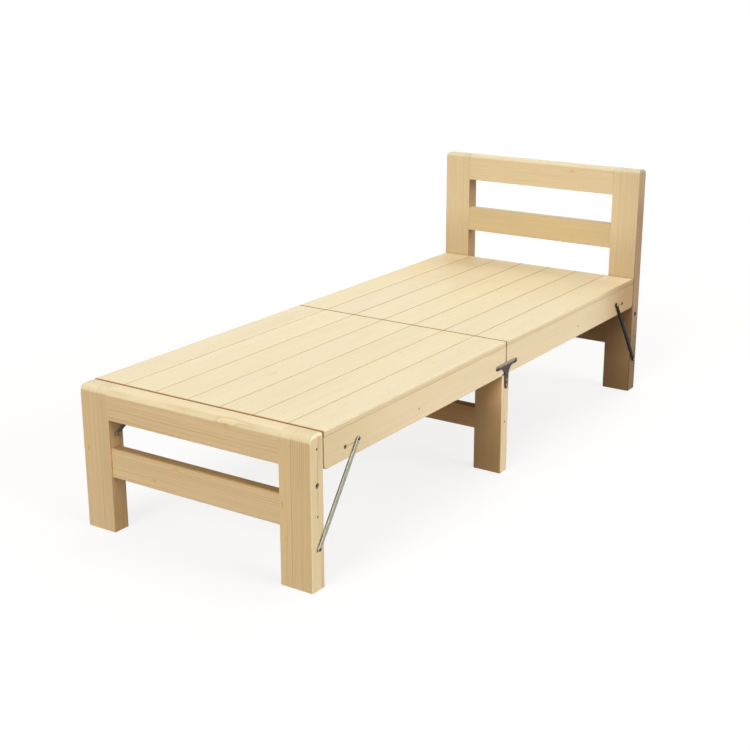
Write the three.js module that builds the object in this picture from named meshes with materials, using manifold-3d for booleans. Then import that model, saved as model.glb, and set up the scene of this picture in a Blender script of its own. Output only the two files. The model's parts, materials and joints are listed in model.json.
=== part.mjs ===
// A single pine bed that folds: two slatted deck halves hinged over a middle leg frame,
// and a foot frame and a headboard frame that each turn under the deck on a bolt.
// Millimetres, +Z up. The origin is on the floor under the joint between the halves.
// The foot end is at -Y, the head end at +Y, and X runs across the bed.

import * as THREE from 'three';
import { mergeVertices } from 'three/addons/utils/BufferGeometryUtils.js';
import Module from 'manifold-3d';

const wasm = await Module();
wasm.setup();

// Whole bed
const bedWidth = 742;
const deckHeight = 400;
const halfLength = 895;
const headboardHeight = 766;
const jointGap = 3;
const endGap = 3;

// Clearances
const fitGap = 0.3;
const pivotGap = 0.4;

// Deck slats
const slatCount = 7;
const slatThickness = 14;
const slatGap = 1.2;
const slatArris = 1;
const deckEdgeRound = 5;

// Deck frame
const railThickness = 27;
const railHeight = 84.5;
const railEndRound = 14;
const railJointRound = 26;
const crossThickness = 25;
const crossHeight = 60;
const crossHousing = 6;
const blockLength = 94;
const blockRound = 2;

// End frames
const postWidth = 95;
const postThickness = 50;
const postArris = 3;
const postCrown = 8;
const outerCrown = 20;
const innerCrown = 3;
const headInnerCrown = 12;
const tenonLength = 22;
const tenonThickness = 16;
const tenonShoulder = 12;
const footTopRailHeight = 85;
const lowerRailHeight = 83.5;
const lowerRailDrop = 161.5;
const lowerRailThickness = 30;
const lowerRailSetback = 5;
const lowerRailArris = 4;
const crestHeight = 89;
const headMidRailHeight = 82;
const headMidRailRise = 95;
const headMidRailThickness = 36;
const headMidRailCrown = 8;
const plugRadius = 2.8;
const plugDepth = 6;
const footTopPlugRise = 7;
const lowerPlugDrop = 4;

// Middle leg frame
const middleLegWidth = 90;
const middleLegThickness = 39;
const middleLegGap = 1;
const middleLegArris = 2;
const middleRailBottom = 125;
const middleRailHeight = 63;
const middleRailThickness = 36;

// Folding: insets run inward from the end of the deck half, drops down from the deck's top, the
// stay's foot is given up from the floor and its top up from the strap bolt
const frameBoltDrop = 128;
const strapBoltDrop = 66;
const strapBoltInset = 88;
const strapScrewInset = 48;
const stayTopInset = 139;
const stayTopRise = 7;
const stayFootHeight = 110;

// Straps, stays and bolts
const strapThickness = 3;
const strapWidth = 10;
const strapEyeRadius = 7;
const frameBoltRadius = 4;
const frameBoltHeadRadius = 6.5;
const frameBoltHeadLength = 8;
const frameBoltRecess = 12;
const strapBoltRadius = 3;
const strapBoltHeadRadius = 5;
const strapBoltHeadLength = 6;
const strapBoltRecess = 9;
const nutLength = 5;
const nutGrip = 1.8;
const screwRadius = 2.2;
const screwHeadRadius = 4.4;
const screwHeadHeight = 1.6;
const screwLength = 18;
const stayWidth = 14;
const stayThickness = 2;
const stayFlangeDepth = 3.4;
const stayFlangeSetback = 40;
const stayRivetRadius = 3;
const stayHeadRadius = 5;
const stayHeadHeight = 2;
const stayRivetLength = 18;

// T brackets: the pivots are given across from the joint and down from the deck's top, and the
// stem's end and its screws down from the pivots
const bracketThickness = 3;
const bracketPivot = 52;
const bracketPivotDrop = 68;
const bracketArmWidth = 14;
const bracketArmOverhang = 9;
const bracketStemWidth = 20;
const bracketTipWidth = 15.6;
const bracketStemDrop = 73;
const bracketGusset = 27;
const bracketRimHeight = 6.6;
const bracketRimDepth = 1.8;
const bracketStudRadius = 4;
const bracketStudLength = 22;
const bracketStudHeadRadius = 6.5;
const bracketStudHeadHeight = 2.4;
const bracketScrewDrops = [46, 62];

// Steps in a quarter of a round, for wood edges and for steel
const woodSteps = 3;
const steelSteps = 5;

// Places worked out from the sizes above
const sideFace = bedWidth / 2;
const halfEnd = jointGap / 2 + halfLength;
const slatUnderside = deckHeight - slatThickness;
const railTop = slatUnderside - fitGap;
const railBottom = slatUnderside - railHeight;
const railInnerFace = sideFace - railThickness;
const postInnerFace = sideFace - postWidth;
const lowerRailBottom = deckHeight - lowerRailDrop - lowerRailHeight;
const headMidRailBottom = deckHeight + headMidRailRise;
const postCentre = -(halfEnd + endGap + postThickness / 2);
const postOuterFace = postCentre - postThickness / 2;
const postDeckFace = postCentre + postThickness / 2;
const strapOuterFace = postInnerFace - pivotGap;
const strapInnerFace = strapOuterFace - strapThickness;
const bracketPivotHeight = deckHeight - bracketPivotDrop;
const bracketScrewHeights = bracketScrewDrops.map((drop) => bracketPivotHeight - drop);
const strapBoltPlace = new THREE.Vector2(-halfEnd + strapBoltInset, deckHeight - strapBoltDrop);
const frameBoltPlace = new THREE.Vector2(postCentre, deckHeight - frameBoltDrop);
const stayFoot = new THREE.Vector2(postCentre, stayFootHeight);
const stayTop = new THREE.Vector2(-halfEnd + stayTopInset, strapBoltPlace.y + stayTopRise);
const stayReach = stayTop.distanceTo(stayFoot);

// Freed from the post, the stay swings up along the rail, and its hand screw has a hole there, as
// high as the strap bolt.
const storageHolePlace = new THREE.Vector2(
  stayTop.x + Math.sqrt(stayReach ** 2 - stayTopRise ** 2), strapBoltPlace.y,
);

// Finishes
const deckPine = new THREE.MeshStandardMaterial({ color: 0xf0dfb6, roughness: 0.55 });
const railPine = new THREE.MeshStandardMaterial({ color: 0xe3cda0, roughness: 0.58 });
const framePine = new THREE.MeshStandardMaterial({ color: 0xdcc294, roughness: 0.58 });
const hiddenPine = new THREE.MeshStandardMaterial({ color: 0xcdb184, roughness: 0.7 });
const zincSteel = new THREE.MeshStandardMaterial({ color: 0xa3a29a, roughness: 0.38, metalness: 1 });
const darkSteel = new THREE.MeshStandardMaterial({ color: 0x3b393b, roughness: 0.42, metalness: 1 });

// Solids: a closed geometry becomes a Manifold for cutting and joining, and comes back as a geometry.
function toSolid(geometry) {
  const plain = geometry.clone();
  plain.deleteAttribute('normal');
  plain.deleteAttribute('uv');
  const merged = mergeVertices(plain, 1e-4);
  return new wasm.Manifold(new wasm.Mesh({
    numProp: 3,
    vertProperties: new Float32Array(merged.attributes.position.array),
    triVerts: new Uint32Array(merged.index.array),
  }));
}

function toGeometry(solid) {
  const mesh = solid.getMesh();
  const geometry = new THREE.BufferGeometry();
  geometry.setAttribute('position', new THREE.BufferAttribute(mesh.vertProperties, 3));
  geometry.setIndex(new THREE.BufferAttribute(mesh.triVerts, 1));
  geometry.computeVertexNormals();
  return geometry;
}

function join(solids) {
  return solids.reduce((whole, piece) => whole.add(piece));
}

function cut(solid, tools) {
  return tools.reduce((rest, tool) => rest.subtract(tool), solid);
}

// Outlines lie in two directions, u and v. A corner with no radius stays square.
function roundedOutline(u0, v0, u1, v1, radii) {
  const corners = [
    { u: u0, v: v0, alongU: 1, alongV: 1, start: Math.PI },
    { u: u1, v: v0, alongU: -1, alongV: 1, start: 1.5 * Math.PI },
    { u: u1, v: v1, alongU: -1, alongV: -1, start: 0 },
    { u: u0, v: v1, alongU: 1, alongV: -1, start: 0.5 * Math.PI },
  ];
  const shape = new THREE.Shape();
  corners.forEach((corner, i) => {
    const radius = radii[i];
    const place = i === 0 ? 'moveTo' : 'lineTo';
    if (radius > 0) {
      const centreU = corner.u + corner.alongU * radius;
      const centreV = corner.v + corner.alongV * radius;
      const firstU = centreU + radius * Math.cos(corner.start);
      const firstV = centreV + radius * Math.sin(corner.start);
      shape[place](firstU, firstV);
      shape.absarc(centreU, centreV, radius, corner.start, corner.start + Math.PI / 2, false);
    } else {
      shape[place](corner.u, corner.v);
    }
  });
  shape.closePath();
  return shape;
}

function rectangle(u0, v0, u1, v1) {
  return roundedOutline(u0, v0, u1, v1, [0, 0, 0, 0]);
}

function disc(centre, radius) {
  const shape = new THREE.Shape();
  shape.absarc(centre.x, centre.y, radius, 0, 2 * Math.PI, false);
  return shape;
}

// A straight bar with round ends about two centres
function barOutline(from, to, halfWidth) {
  const turn = Math.atan2(to.y - from.y, to.x - from.x);
  const shape = new THREE.Shape();
  shape.absarc(from.x, from.y, halfWidth, turn + Math.PI / 2, turn + 1.5 * Math.PI, false);
  shape.absarc(to.x, to.y, halfWidth, turn - Math.PI / 2, turn + Math.PI / 2, false);
  shape.closePath();
  return shape;
}

function prism(shape, length, steps) {
  return new THREE.ExtrudeGeometry(shape, { depth: length, bevelEnabled: false, curveSegments: steps });
}

// An outline in y and z, carried along X
function alongX(shape, from, to, steps = woodSteps) {
  const turned = new THREE.Matrix4().makeBasis(
    new THREE.Vector3(0, 1, 0),
    new THREE.Vector3(0, 0, 1),
    new THREE.Vector3(1, 0, 0),
  );
  return toSolid(prism(shape, to - from, steps).translate(0, 0, from).applyMatrix4(turned));
}

// An outline in x and z, carried along Y
function alongY(shape, from, to, steps = woodSteps) {
  return toSolid(prism(shape, to - from, steps).translate(0, 0, -to).rotateX(Math.PI / 2));
}

// An outline in x and y, carried along Z
function alongZ(shape, from, to, steps = woodSteps) {
  return toSolid(prism(shape, to - from, steps).translate(0, 0, from));
}

function boxSolid(x0, x1, y0, y1, z0, z1) {
  return alongX(rectangle(y0, z0, y1, z1), x0, x1);
}

// A round bar or bore that runs across the bed at a place given in y and z
function roundAcross(place, radius, from, to) {
  return alongX(disc(place, radius), Math.min(from, to), Math.max(from, to), steelSteps);
}

// Side 1 is +X and side -1 is -X. A span given outward from the middle is laid on that side.
function spanOn(side, inner, outer) {
  return side > 0 ? [inner, outer] : [-outer, -inner];
}

function addPiece(group, name, solid, material) {
  const mesh = new THREE.Mesh(toGeometry(solid), material);
  mesh.name = name;
  group.add(mesh);
}

// Deck half, built for the foot end: its outer end is at -halfEnd and its joint end near zero

function slat(index) {
  const width = (bedWidth - (slatCount - 1) * slatGap) / slatCount;
  const left = -sideFace + index * (width + slatGap);
  const leftRound = index === 0 ? deckEdgeRound : slatArris;
  const rightRound = index === slatCount - 1 ? deckEdgeRound : slatArris;
  const section = roundedOutline(
    left, slatUnderside, left + width, deckHeight,
    [0, 0, rightRound, leftRound],
  );
  return alongY(section, -halfEnd, -jointGap / 2);
}

// Cross members stand at the outer end, the middle and the joint end of the half.
function crossMemberStarts() {
  const outer = -halfEnd;
  const joint = -jointGap / 2 - crossThickness;
  return [outer, (outer + joint) / 2, joint];
}

function crossMember(start) {
  const reach = railInnerFace + crossHousing;
  return boxSolid(-reach, reach, start, start + crossThickness, railTop - crossHeight, railTop);
}

function crossHousings(side) {
  const housingEnd = railInnerFace + crossHousing + fitGap;
  const [x0, x1] = spanOn(side, railInnerFace - fitGap, housingEnd);
  return crossMemberStarts().map((start) => boxSolid(
    x0, x1,
    start - fitGap, start + crossThickness + fitGap,
    railTop - crossHeight - fitGap, railTop + fitGap,
  ));
}

// Both lower corners are rounded: the joint one wide enough to turn past the bracket's pivot.
function sideRail(side) {
  const outline = roundedOutline(
    -halfEnd, railBottom, -jointGap / 2, railTop,
    [railEndRound, railJointRound, 0, 0],
  );
  const [x0, x1] = spanOn(side, railInnerFace + fitGap, sideFace);
  const outward = side * sideFace;
  const through = side * (railInnerFace - fitGap);
  const pivot = new THREE.Vector2(-bracketPivot, bracketPivotHeight);
  return cut(alongX(outline, x0, x1, woodSteps + 1), [
    ...crossHousings(side),
    roundAcross(strapBoltPlace, strapBoltRadius + pivotGap, through, outward + side),
    roundAcross(
      strapBoltPlace, strapBoltHeadRadius + pivotGap,
      outward - side * strapBoltRecess, outward + side,
    ),
    ...[stayTop, storageHolePlace].map((place) => roundAcross(
      place, stayRivetRadius + pivotGap,
      outward - side * (stayRivetLength + fitGap), outward + side,
    )),
    roundAcross(
      pivot, bracketStudRadius + pivotGap,
      outward - side * (bracketStudLength + fitGap), outward + side,
    ),
  ]);
}

// The block carries the strap at the post's inner face, behind the outer cross member.
function strapBlock(side) {
  const start = -halfEnd + crossThickness + fitGap;
  const [x0, x1] = spanOn(side, strapOuterFace + fitGap, railInnerFace);
  const section = roundedOutline(
    start, railBottom + blockRound, start + blockLength, railTop,
    [blockRound, blockRound, 0, 0],
  );
  const screwPlace = strapScrewPlace();
  return cut(alongX(section, x0, x1), [
    roundAcross(strapBoltPlace, strapBoltRadius + pivotGap, x0 - 1, x1 + 1),
    roundAcross(
      screwPlace, screwRadius + fitGap,
      side * (strapOuterFace - 1), side * (strapOuterFace + screwLength + fitGap),
    ),
  ]);
}

function strapScrewPlace() {
  const y = -halfEnd + strapScrewInset;
  const rise = (strapBoltPlace.y - frameBoltPlace.y) / (strapBoltPlace.x - frameBoltPlace.x);
  return new THREE.Vector2(y, frameBoltPlace.y + rise * (y - frameBoltPlace.x));
}

// Flat steel strap from the block to the frame bolt, with its wood screw
function strap(side) {
  const [x0, x1] = spanOn(side, strapInnerFace, strapOuterFace);
  const screwPlace = strapScrewPlace();
  const plate = join([
    alongX(barOutline(frameBoltPlace, strapBoltPlace, strapWidth / 2), x0, x1, steelSteps),
    roundAcross(frameBoltPlace, strapEyeRadius, x0, x1),
    roundAcross(strapBoltPlace, strapEyeRadius, x0, x1),
    roundAcross(
      screwPlace, screwRadius,
      side * strapInnerFace, side * (strapOuterFace + screwLength),
    ),
    roundAcross(
      screwPlace, screwHeadRadius,
      side * (strapInnerFace - screwHeadHeight), side * strapInnerFace,
    ),
  ]);
  return cut(plate, [
    roundAcross(frameBoltPlace, frameBoltRadius + pivotGap, x0 - 1, x1 + 1),
    roundAcross(strapBoltPlace, strapBoltRadius + pivotGap, x0 - 1, x1 + 1),
  ]);
}

// A bolt with its head sunk in the wood and its nut on the strap's inner side
function boltAcross(side, place, sizes) {
  const headBase = side * (sideFace - sizes.recess + fitGap);
  const nutFace = side * (strapInnerFace - fitGap);
  return join([
    roundAcross(place, sizes.radius, nutFace, headBase),
    roundAcross(place, sizes.headRadius, headBase, headBase + side * sizes.headLength),
    roundAcross(place, sizes.radius * nutGrip, nutFace - side * nutLength, nutFace),
  ]);
}

function buildDeckHalf(group, end, nameOfSide) {
  for (let i = 0; i < slatCount; i += 1) {
    addPiece(group, `${end}_slat_${i + 1}`, slat(i), deckPine);
  }
  const memberNames = ['end_rail', 'bearer', 'joint_rail'];
  crossMemberStarts().forEach((start, i) => {
    addPiece(group, `${end}_${memberNames[i]}`, crossMember(start), hiddenPine);
  });
  for (const side of [-1, 1]) {
    const label = nameOfSide(side);
    addPiece(group, `${end}_side_rail_${label}`, sideRail(side), railPine);
    addPiece(group, `${end}_strap_block_${label}`, strapBlock(side), hiddenPine);
    addPiece(group, `${end}_strap_${label}`, strap(side), darkSteel);
    addPiece(group, `${end}_strap_bolt_${label}`, boltAcross(side, strapBoltPlace, {
      radius: strapBoltRadius,
      headRadius: strapBoltHeadRadius,
      headLength: strapBoltHeadLength,
      recess: strapBoltRecess,
    }), darkSteel);
    addPiece(group, `${end}_frame_bolt_${label}`, boltAcross(side, frameBoltPlace, {
      radius: frameBoltRadius,
      headRadius: frameBoltHeadRadius,
      headLength: frameBoltHeadLength,
      recess: frameBoltRecess,
    }), darkSteel);
  }
}

// End frames, built for the foot end

// A rail between the posts, with a tenon on each end. Radii run from the outer lower edge round,
// and the small hole over each tenon is plugRise above the rail's middle.
function frameRail(outerFace, innerFace, bottom, top, radii, plugRise = 0) {
  const body = alongX(
    roundedOutline(outerFace, bottom, innerFace, top, radii),
    -(postInnerFace - fitGap), postInnerFace - fitGap,
  );
  const middle = (outerFace + innerFace) / 2;
  const reach = postInnerFace + tenonLength;
  const tenon = boxSolid(
    -reach, reach,
    middle - tenonThickness / 2, middle + tenonThickness / 2,
    bottom + tenonShoulder, top - Math.max(tenonShoulder, radii[3]),
  );
  const plugHeight = (bottom + top) / 2 + plugRise;
  return { solid: body.add(tenon), middle, bottom, top, crown: radii[3], plugHeight };
}

function mortise(side, rail) {
  const [x0, x1] = spanOn(side, postInnerFace - 1, postInnerFace + tenonLength + fitGap);
  const halfOpening = tenonThickness / 2 + fitGap;
  return boxSolid(
    x0, x1,
    rail.middle - halfOpening, rail.middle + halfOpening,
    rail.bottom + tenonShoulder - fitGap, rail.top - Math.max(tenonShoulder, rail.crown) + fitGap,
  );
}

// The post's top is rounded towards each face, and its long edges are eased.
function post(side, height, deckCrown, rails) {
  const [x0, x1] = spanOn(side, postInnerFace, sideFace);
  const fromSide = alongX(
    roundedOutline(postOuterFace, 0, postDeckFace, height, [0, 0, deckCrown, outerCrown]),
    x0, x1, woodSteps + 1,
  );
  const crowns = side > 0 ? [0, 0, postCrown, 0] : [0, 0, 0, postCrown];
  const fromFront = alongY(
    roundedOutline(x0, 0, x1, height, crowns),
    postOuterFace - 1, postDeckFace + 1,
  );
  const arrises = side > 0 ? [0, postArris, postArris, 0] : [postArris, 0, 0, postArris];
  const fromAbove = alongZ(
    roundedOutline(x0, postOuterFace, x1, postDeckFace, arrises),
    -1, height + 1, 2,
  );
  const outward = side * sideFace;
  const plugPlaces = rails.map((rail) => new THREE.Vector2(postCentre, rail.plugHeight));
  return cut(fromSide.intersect(fromFront).intersect(fromAbove), [
    ...rails.map((rail) => mortise(side, rail)),
    ...plugPlaces.map((place) => roundAcross(place, plugRadius, outward - side * plugDepth, outward + side)),
    roundAcross(frameBoltPlace, frameBoltRadius + pivotGap, x0 - 1, x1 + 1),
    roundAcross(
      frameBoltPlace, frameBoltHeadRadius + pivotGap,
      outward - side * frameBoltRecess, outward + side,
    ),
    roundAcross(
      stayFoot, stayRivetRadius + pivotGap,
      outward - side * (stayRivetLength + fitGap), outward + side,
    ),
  ]);
}

function lowerRail() {
  const outer = postOuterFace + lowerRailSetback;
  const arris = lowerRailArris;
  return frameRail(
    outer, outer + lowerRailThickness,
    lowerRailBottom, lowerRailBottom + lowerRailHeight,
    [arris, arris, arris, arris], -lowerPlugDrop,
  );
}

function footTopRail() {
  return frameRail(
    postOuterFace, postDeckFace,
    deckHeight - footTopRailHeight, deckHeight,
    [postArris, postArris, innerCrown, outerCrown], footTopPlugRise,
  );
}

function headCrestRail() {
  return frameRail(
    postOuterFace, postDeckFace,
    headboardHeight - crestHeight, headboardHeight,
    [postArris, postArris, headInnerCrown, outerCrown],
  );
}

function headMidRail() {
  return frameRail(
    postDeckFace - headMidRailThickness, postDeckFace,
    headMidRailBottom, headMidRailBottom + headMidRailHeight,
    [postArris, postArris, headMidRailCrown, headMidRailCrown],
  );
}

// Pressed steel stay: a web with two flanges turned to the wood, a rivet in the rail at its
// top, and at its foot a hand screw whose point is shown drawn back out of the post.
function stay(side) {
  const flangeFoot = sideFace + fitGap;
  const webBack = flangeFoot + stayFlangeDepth;
  const webFront = webBack + stayThickness;
  const [x0, x1] = spanOn(side, webBack, webFront);
  const [f0, f1] = spanOn(side, flangeFoot, webFront);
  const direction = stayTop.clone().sub(stayFoot).normalize();
  const flangeStart = stayFoot.clone().addScaledVector(direction, stayFlangeSetback);
  const flangeEnd = stayTop.clone().addScaledVector(direction, -stayFlangeSetback);
  const channel = alongX(barOutline(stayFoot, stayTop, stayWidth / 2), x0, x1, steelSteps);
  const deep = barStrip(flangeStart, flangeEnd, stayWidth / 2, f0, f1);
  const hollow = barStrip(
    flangeStart.clone().addScaledVector(direction, -1),
    flangeEnd.clone().addScaledVector(direction, 1),
    stayWidth / 2 - stayThickness, ...spanOn(side, flangeFoot - 1, webBack),
  );
  const flanges = deep.subtract(hollow);
  const head = (place) => roundAcross(
    place, stayHeadRadius, side * webFront, side * (webFront + stayHeadHeight),
  );
  const spacer = (place) => roundAcross(place, stayHeadRadius, side * flangeFoot, side * webBack);
  const rivet = roundAcross(stayTop, stayRivetRadius, side * (sideFace - stayRivetLength), side * webBack);
  return join([channel, flanges, head(stayFoot), head(stayTop), spacer(stayFoot), spacer(stayTop), rivet]);
}

// A square-ended strip along a line in y and z
function barStrip(from, to, halfWidth, x0, x1) {
  const across = to.clone().sub(from).normalize().rotateAround(new THREE.Vector2(), Math.PI / 2)
    .multiplyScalar(halfWidth);
  const shape = new THREE.Shape([
    from.clone().sub(across),
    to.clone().sub(across),
    to.clone().add(across),
    from.clone().add(across),
  ]);
  return alongX(shape, x0, x1);
}

function buildEndFrame(group, end, rails, height, deckCrown, stayMaterial, nameOfSide) {
  for (const [name, rail] of Object.entries(rails)) {
    addPiece(group, `${end}_${name}`, rail.solid, framePine);
  }
  for (const side of [-1, 1]) {
    const label = nameOfSide(side);
    addPiece(group, `${end}_post_${label}`, post(side, height, deckCrown, Object.values(rails)), framePine);
    addPiece(group, `${end}_stay_${label}`, stay(side), stayMaterial);
  }
}

// Middle leg frame

function middleRail() {
  const half = middleRailThickness / 2;
  const inner = sideFace - middleLegWidth - fitGap;
  const top = middleRailBottom + middleRailHeight;
  const body = boxSolid(-inner, inner, -half, half, middleRailBottom, top);
  const reach = sideFace - middleLegWidth + tenonLength;
  const tenon = boxSolid(
    -reach, reach, -tenonThickness / 2, tenonThickness / 2,
    middleRailBottom + tenonShoulder, top - tenonShoulder,
  );
  return body.add(tenon);
}

function middleLeg(side) {
  const inner = sideFace - middleLegWidth;
  const half = middleLegThickness / 2;
  const top = railBottom - middleLegGap;
  const railTopEdge = middleRailBottom + middleRailHeight;
  const [x0, x1] = spanOn(side, inner, sideFace);
  const arris = middleLegArris;
  const body = alongZ(roundedOutline(x0, -half, x1, half, [arris, arris, arris, arris]), 0, top, 2);
  const [m0, m1] = spanOn(side, inner - 1, inner + tenonLength + fitGap);
  const halfOpening = tenonThickness / 2 + fitGap;
  const outward = side * sideFace;
  const railScrew = new THREE.Vector2(0, middleRailBottom + middleRailHeight / 2);
  return cut(body, [
    boxSolid(
      m0, m1, -halfOpening, halfOpening,
      middleRailBottom + tenonShoulder - fitGap, railTopEdge - tenonShoulder + fitGap,
    ),
    roundAcross(railScrew, plugRadius, outward - side * plugDepth, outward + side),
    ...bracketScrewHeights.map((height) => roundAcross(
      new THREE.Vector2(0, height), screwRadius + fitGap,
      outward - side * (screwLength + fitGap), outward + side,
    )),
  ]);
}

// The T's outline: half rounds at both arms' ends, a stem that narrows to a half round, and a
// quarter-round fillet in each inner corner, limited by the arm that it runs along
function bracketOutline() {
  const arm = bracketArmWidth / 2;
  const stem = bracketStemWidth / 2;
  const tip = bracketTipWidth / 2;
  const armCentre = bracketPivot + bracketArmOverhang - arm;
  const fillet = Math.min(bracketGusset, armCentre - stem);
  const filletHeight = bracketPivotHeight - arm - fillet;
  const tipHeight = bracketPivotHeight - bracketStemDrop + tip;
  const shape = new THREE.Shape();
  shape.absarc(-armCentre, bracketPivotHeight, arm, 0.5 * Math.PI, 1.5 * Math.PI, false);
  shape.absarc(-stem - fillet, filletHeight, fillet, 0.5 * Math.PI, 0, true);
  shape.absarc(0, tipHeight, tip, Math.PI, 2 * Math.PI, false);
  shape.absarc(stem + fillet, filletHeight, fillet, Math.PI, 0.5 * Math.PI, true);
  shape.absarc(armCentre, bracketPivotHeight, arm, -0.5 * Math.PI, 0.5 * Math.PI, false);
  shape.closePath();
  return shape;
}

// The arms' upper edge is folded outward into a rim, which is rounded on top.
function bracketRim(side, back, front) {
  const end = bracketPivot + bracketArmOverhang - bracketArmWidth / 2;
  const top = bracketPivotHeight + bracketArmWidth / 2;
  const [x0, x1] = spanOn(side, back, front + bracketRimDepth);
  const round = bracketRimDepth;
  const rounds = side > 0 ? [0, 0, round, 0] : [0, 0, 0, round];
  return alongY(roundedOutline(x0, top - bracketRimHeight, x1, top, rounds), -end, end);
}

// T bracket: its stem is screwed to the leg, and each arm ends in a stud that a half turns on.
function bracket(side) {
  const back = sideFace + fitGap;
  const front = back + bracketThickness;
  const [x0, x1] = spanOn(side, back, front);
  const studs = [-bracketPivot, bracketPivot].flatMap((y) => {
    const place = new THREE.Vector2(y, bracketPivotHeight);
    return [
      roundAcross(place, bracketStudRadius, side * (sideFace - bracketStudLength), side * front),
      roundAcross(place, bracketStudHeadRadius, side * front, side * (front + bracketStudHeadHeight)),
    ];
  });
  const screws = bracketScrewHeights.flatMap((height) => {
    const place = new THREE.Vector2(0, height);
    return [
      roundAcross(place, screwRadius, side * (sideFace - screwLength), side * front),
      roundAcross(place, screwHeadRadius, side * front, side * (front + screwHeadHeight)),
    ];
  });
  return join([
    alongX(bracketOutline(), x0, x1, steelSteps),
    bracketRim(side, back, front),
    ...studs,
    ...screws,
  ]);
}

function buildMiddleFrame(group) {
  addPiece(group, 'middle_cross_rail', middleRail(), hiddenPine);
  for (const side of [-1, 1]) {
    const label = worldSide(side);
    addPiece(group, `middle_leg_${label}`, middleLeg(side), framePine);
    addPiece(group, `t_bracket_${label}`, bracket(side), darkSteel);
  }
}

// The whole bed. The head end is the foot end's construction turned half round about Z.

function worldSide(side) {
  return side > 0 ? 'right' : 'left';
}

function turnedSide(side) {
  return worldSide(-side);
}

const bed = new THREE.Group();
bed.name = 'folding_pine_bed';

const footEnd = new THREE.Group();
buildDeckHalf(footEnd, 'foot', worldSide);
buildEndFrame(
  footEnd, 'foot',
  { top_rail: footTopRail(), lower_rail: lowerRail() },
  deckHeight, innerCrown, zincSteel, worldSide,
);

const headEnd = new THREE.Group();
headEnd.rotation.z = Math.PI;
buildDeckHalf(headEnd, 'head', turnedSide);
buildEndFrame(
  headEnd, 'head',
  { crest_rail: headCrestRail(), mid_rail: headMidRail(), lower_rail: lowerRail() },
  headboardHeight, headInnerCrown, darkSteel, turnedSide,
);

const middleFrame = new THREE.Group();
buildMiddleFrame(middleFrame);

bed.add(footEnd, headEnd, middleFrame);

export default bed;
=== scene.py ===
"""Looks of a folding pine bed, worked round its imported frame.

Metres, +Z up, the floor at z = 0. The foot end is at -Y, the head end at +Y, X runs across the bed.
"""

import json
import math
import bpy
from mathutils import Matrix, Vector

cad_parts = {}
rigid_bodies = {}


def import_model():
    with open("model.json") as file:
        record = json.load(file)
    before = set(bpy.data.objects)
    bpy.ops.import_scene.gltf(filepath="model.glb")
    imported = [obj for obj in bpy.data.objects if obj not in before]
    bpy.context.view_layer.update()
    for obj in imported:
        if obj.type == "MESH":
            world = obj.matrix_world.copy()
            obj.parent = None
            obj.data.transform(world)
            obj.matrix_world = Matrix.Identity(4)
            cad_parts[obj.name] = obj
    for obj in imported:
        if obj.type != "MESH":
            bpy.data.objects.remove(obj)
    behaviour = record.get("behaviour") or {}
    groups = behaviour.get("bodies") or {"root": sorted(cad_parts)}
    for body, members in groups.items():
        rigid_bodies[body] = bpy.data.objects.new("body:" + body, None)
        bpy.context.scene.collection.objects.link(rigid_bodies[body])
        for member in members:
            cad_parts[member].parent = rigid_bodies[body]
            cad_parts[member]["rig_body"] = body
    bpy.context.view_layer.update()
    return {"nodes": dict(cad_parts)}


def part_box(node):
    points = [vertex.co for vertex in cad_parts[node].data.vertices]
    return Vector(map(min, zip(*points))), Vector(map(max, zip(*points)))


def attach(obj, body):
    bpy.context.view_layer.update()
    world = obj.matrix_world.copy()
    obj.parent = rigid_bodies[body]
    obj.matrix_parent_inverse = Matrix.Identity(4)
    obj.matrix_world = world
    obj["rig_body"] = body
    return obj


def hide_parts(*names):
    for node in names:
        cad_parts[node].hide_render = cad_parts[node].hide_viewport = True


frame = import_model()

import zlib

import bpy
import numpy as np
from bpy.props import FloatProperty, FloatVectorProperty, IntProperty, PointerProperty
from mathutils import Matrix

OUTER_SIDE = float(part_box("foot_post_right")[1].x)
# The floor as the camera sees it: a grey that takes the shadow, and a glow that makes it white
FLOOR_GREY = 0.22
FLOOR_GLOW = 0.80
FLOOR_REACH = 30
FLOOR_LINES = 7
# A lamp's setting, the direction that it shines from and how wide it is in degrees
LAMPS = (
    ("top", (0.0, 0.6, 1.0), 50),
    ("side", (1.0, 0.06, 0.3), 35),
    ("front", (0.0, -1.0, 0.45), 35),
)
PHOTO_SIDE = 750
SENSOR = 36.0

bl_info = {
    "name": "Folding Pine Bed",
    "version": (1, 0, 0),
    "blender": (4, 5, 0),
    "location": "View3D > Sidebar > Pine Bed",
    "description": "Makes the boards, steelwork and stage of a folding pine bed",
    "category": "Object",
}

X, Y, Z = 0, 1, 2
QUARTER = math.pi / 2
ENDS = ("foot", "head")
SIDES = ("left", "right")
CORNERS = [(end, side) for end in ENDS for side in SIDES]
SLATS = range(1, 8)

# Sizes of the steel parts that their boxes in the frame don't give, in metres: a head or a hole
# has its radius and its height or depth, a shank its radius, its tip's radius and its length
STAY_HALF = 0.007
STAY_SHEET = 0.002
STAY_HEAD = (0.005, 0.002)
STAY_WASHER = (0.005, 0.0046)
RIVET_SHANK = (0.003, 0.0024, 0.0178)
HAND_SCREW_HOLE = (0.0034, 0.018)
STRAP_EYE = 0.007
STRAP_HALF = 0.005
STRAP_SHEET = 0.003
BOLT_RADIUS = {"strap": 0.003, "frame": 0.004}
BOLT_HEAD = {"strap": (0.005, 0.006), "frame": (0.0065, 0.008)}
BOLT_RECESS = {"strap": (0.0054, 0.009), "frame": (0.0069, 0.012)}
STRAP_SCREW = (0.0044, 0.0016)
BRACKET_SCREW = (0.0044, 0.00165)
STUD_HEAD = (0.0065, 0.0024)
STUD_SHANK = (0.004, 0.0034, 0.0218)
BRACKET_THICK = 0.003
BRACKET_ARM = 0.007
BRACKET_STEM = 0.010
BRACKET_TIP = 0.0078
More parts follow.
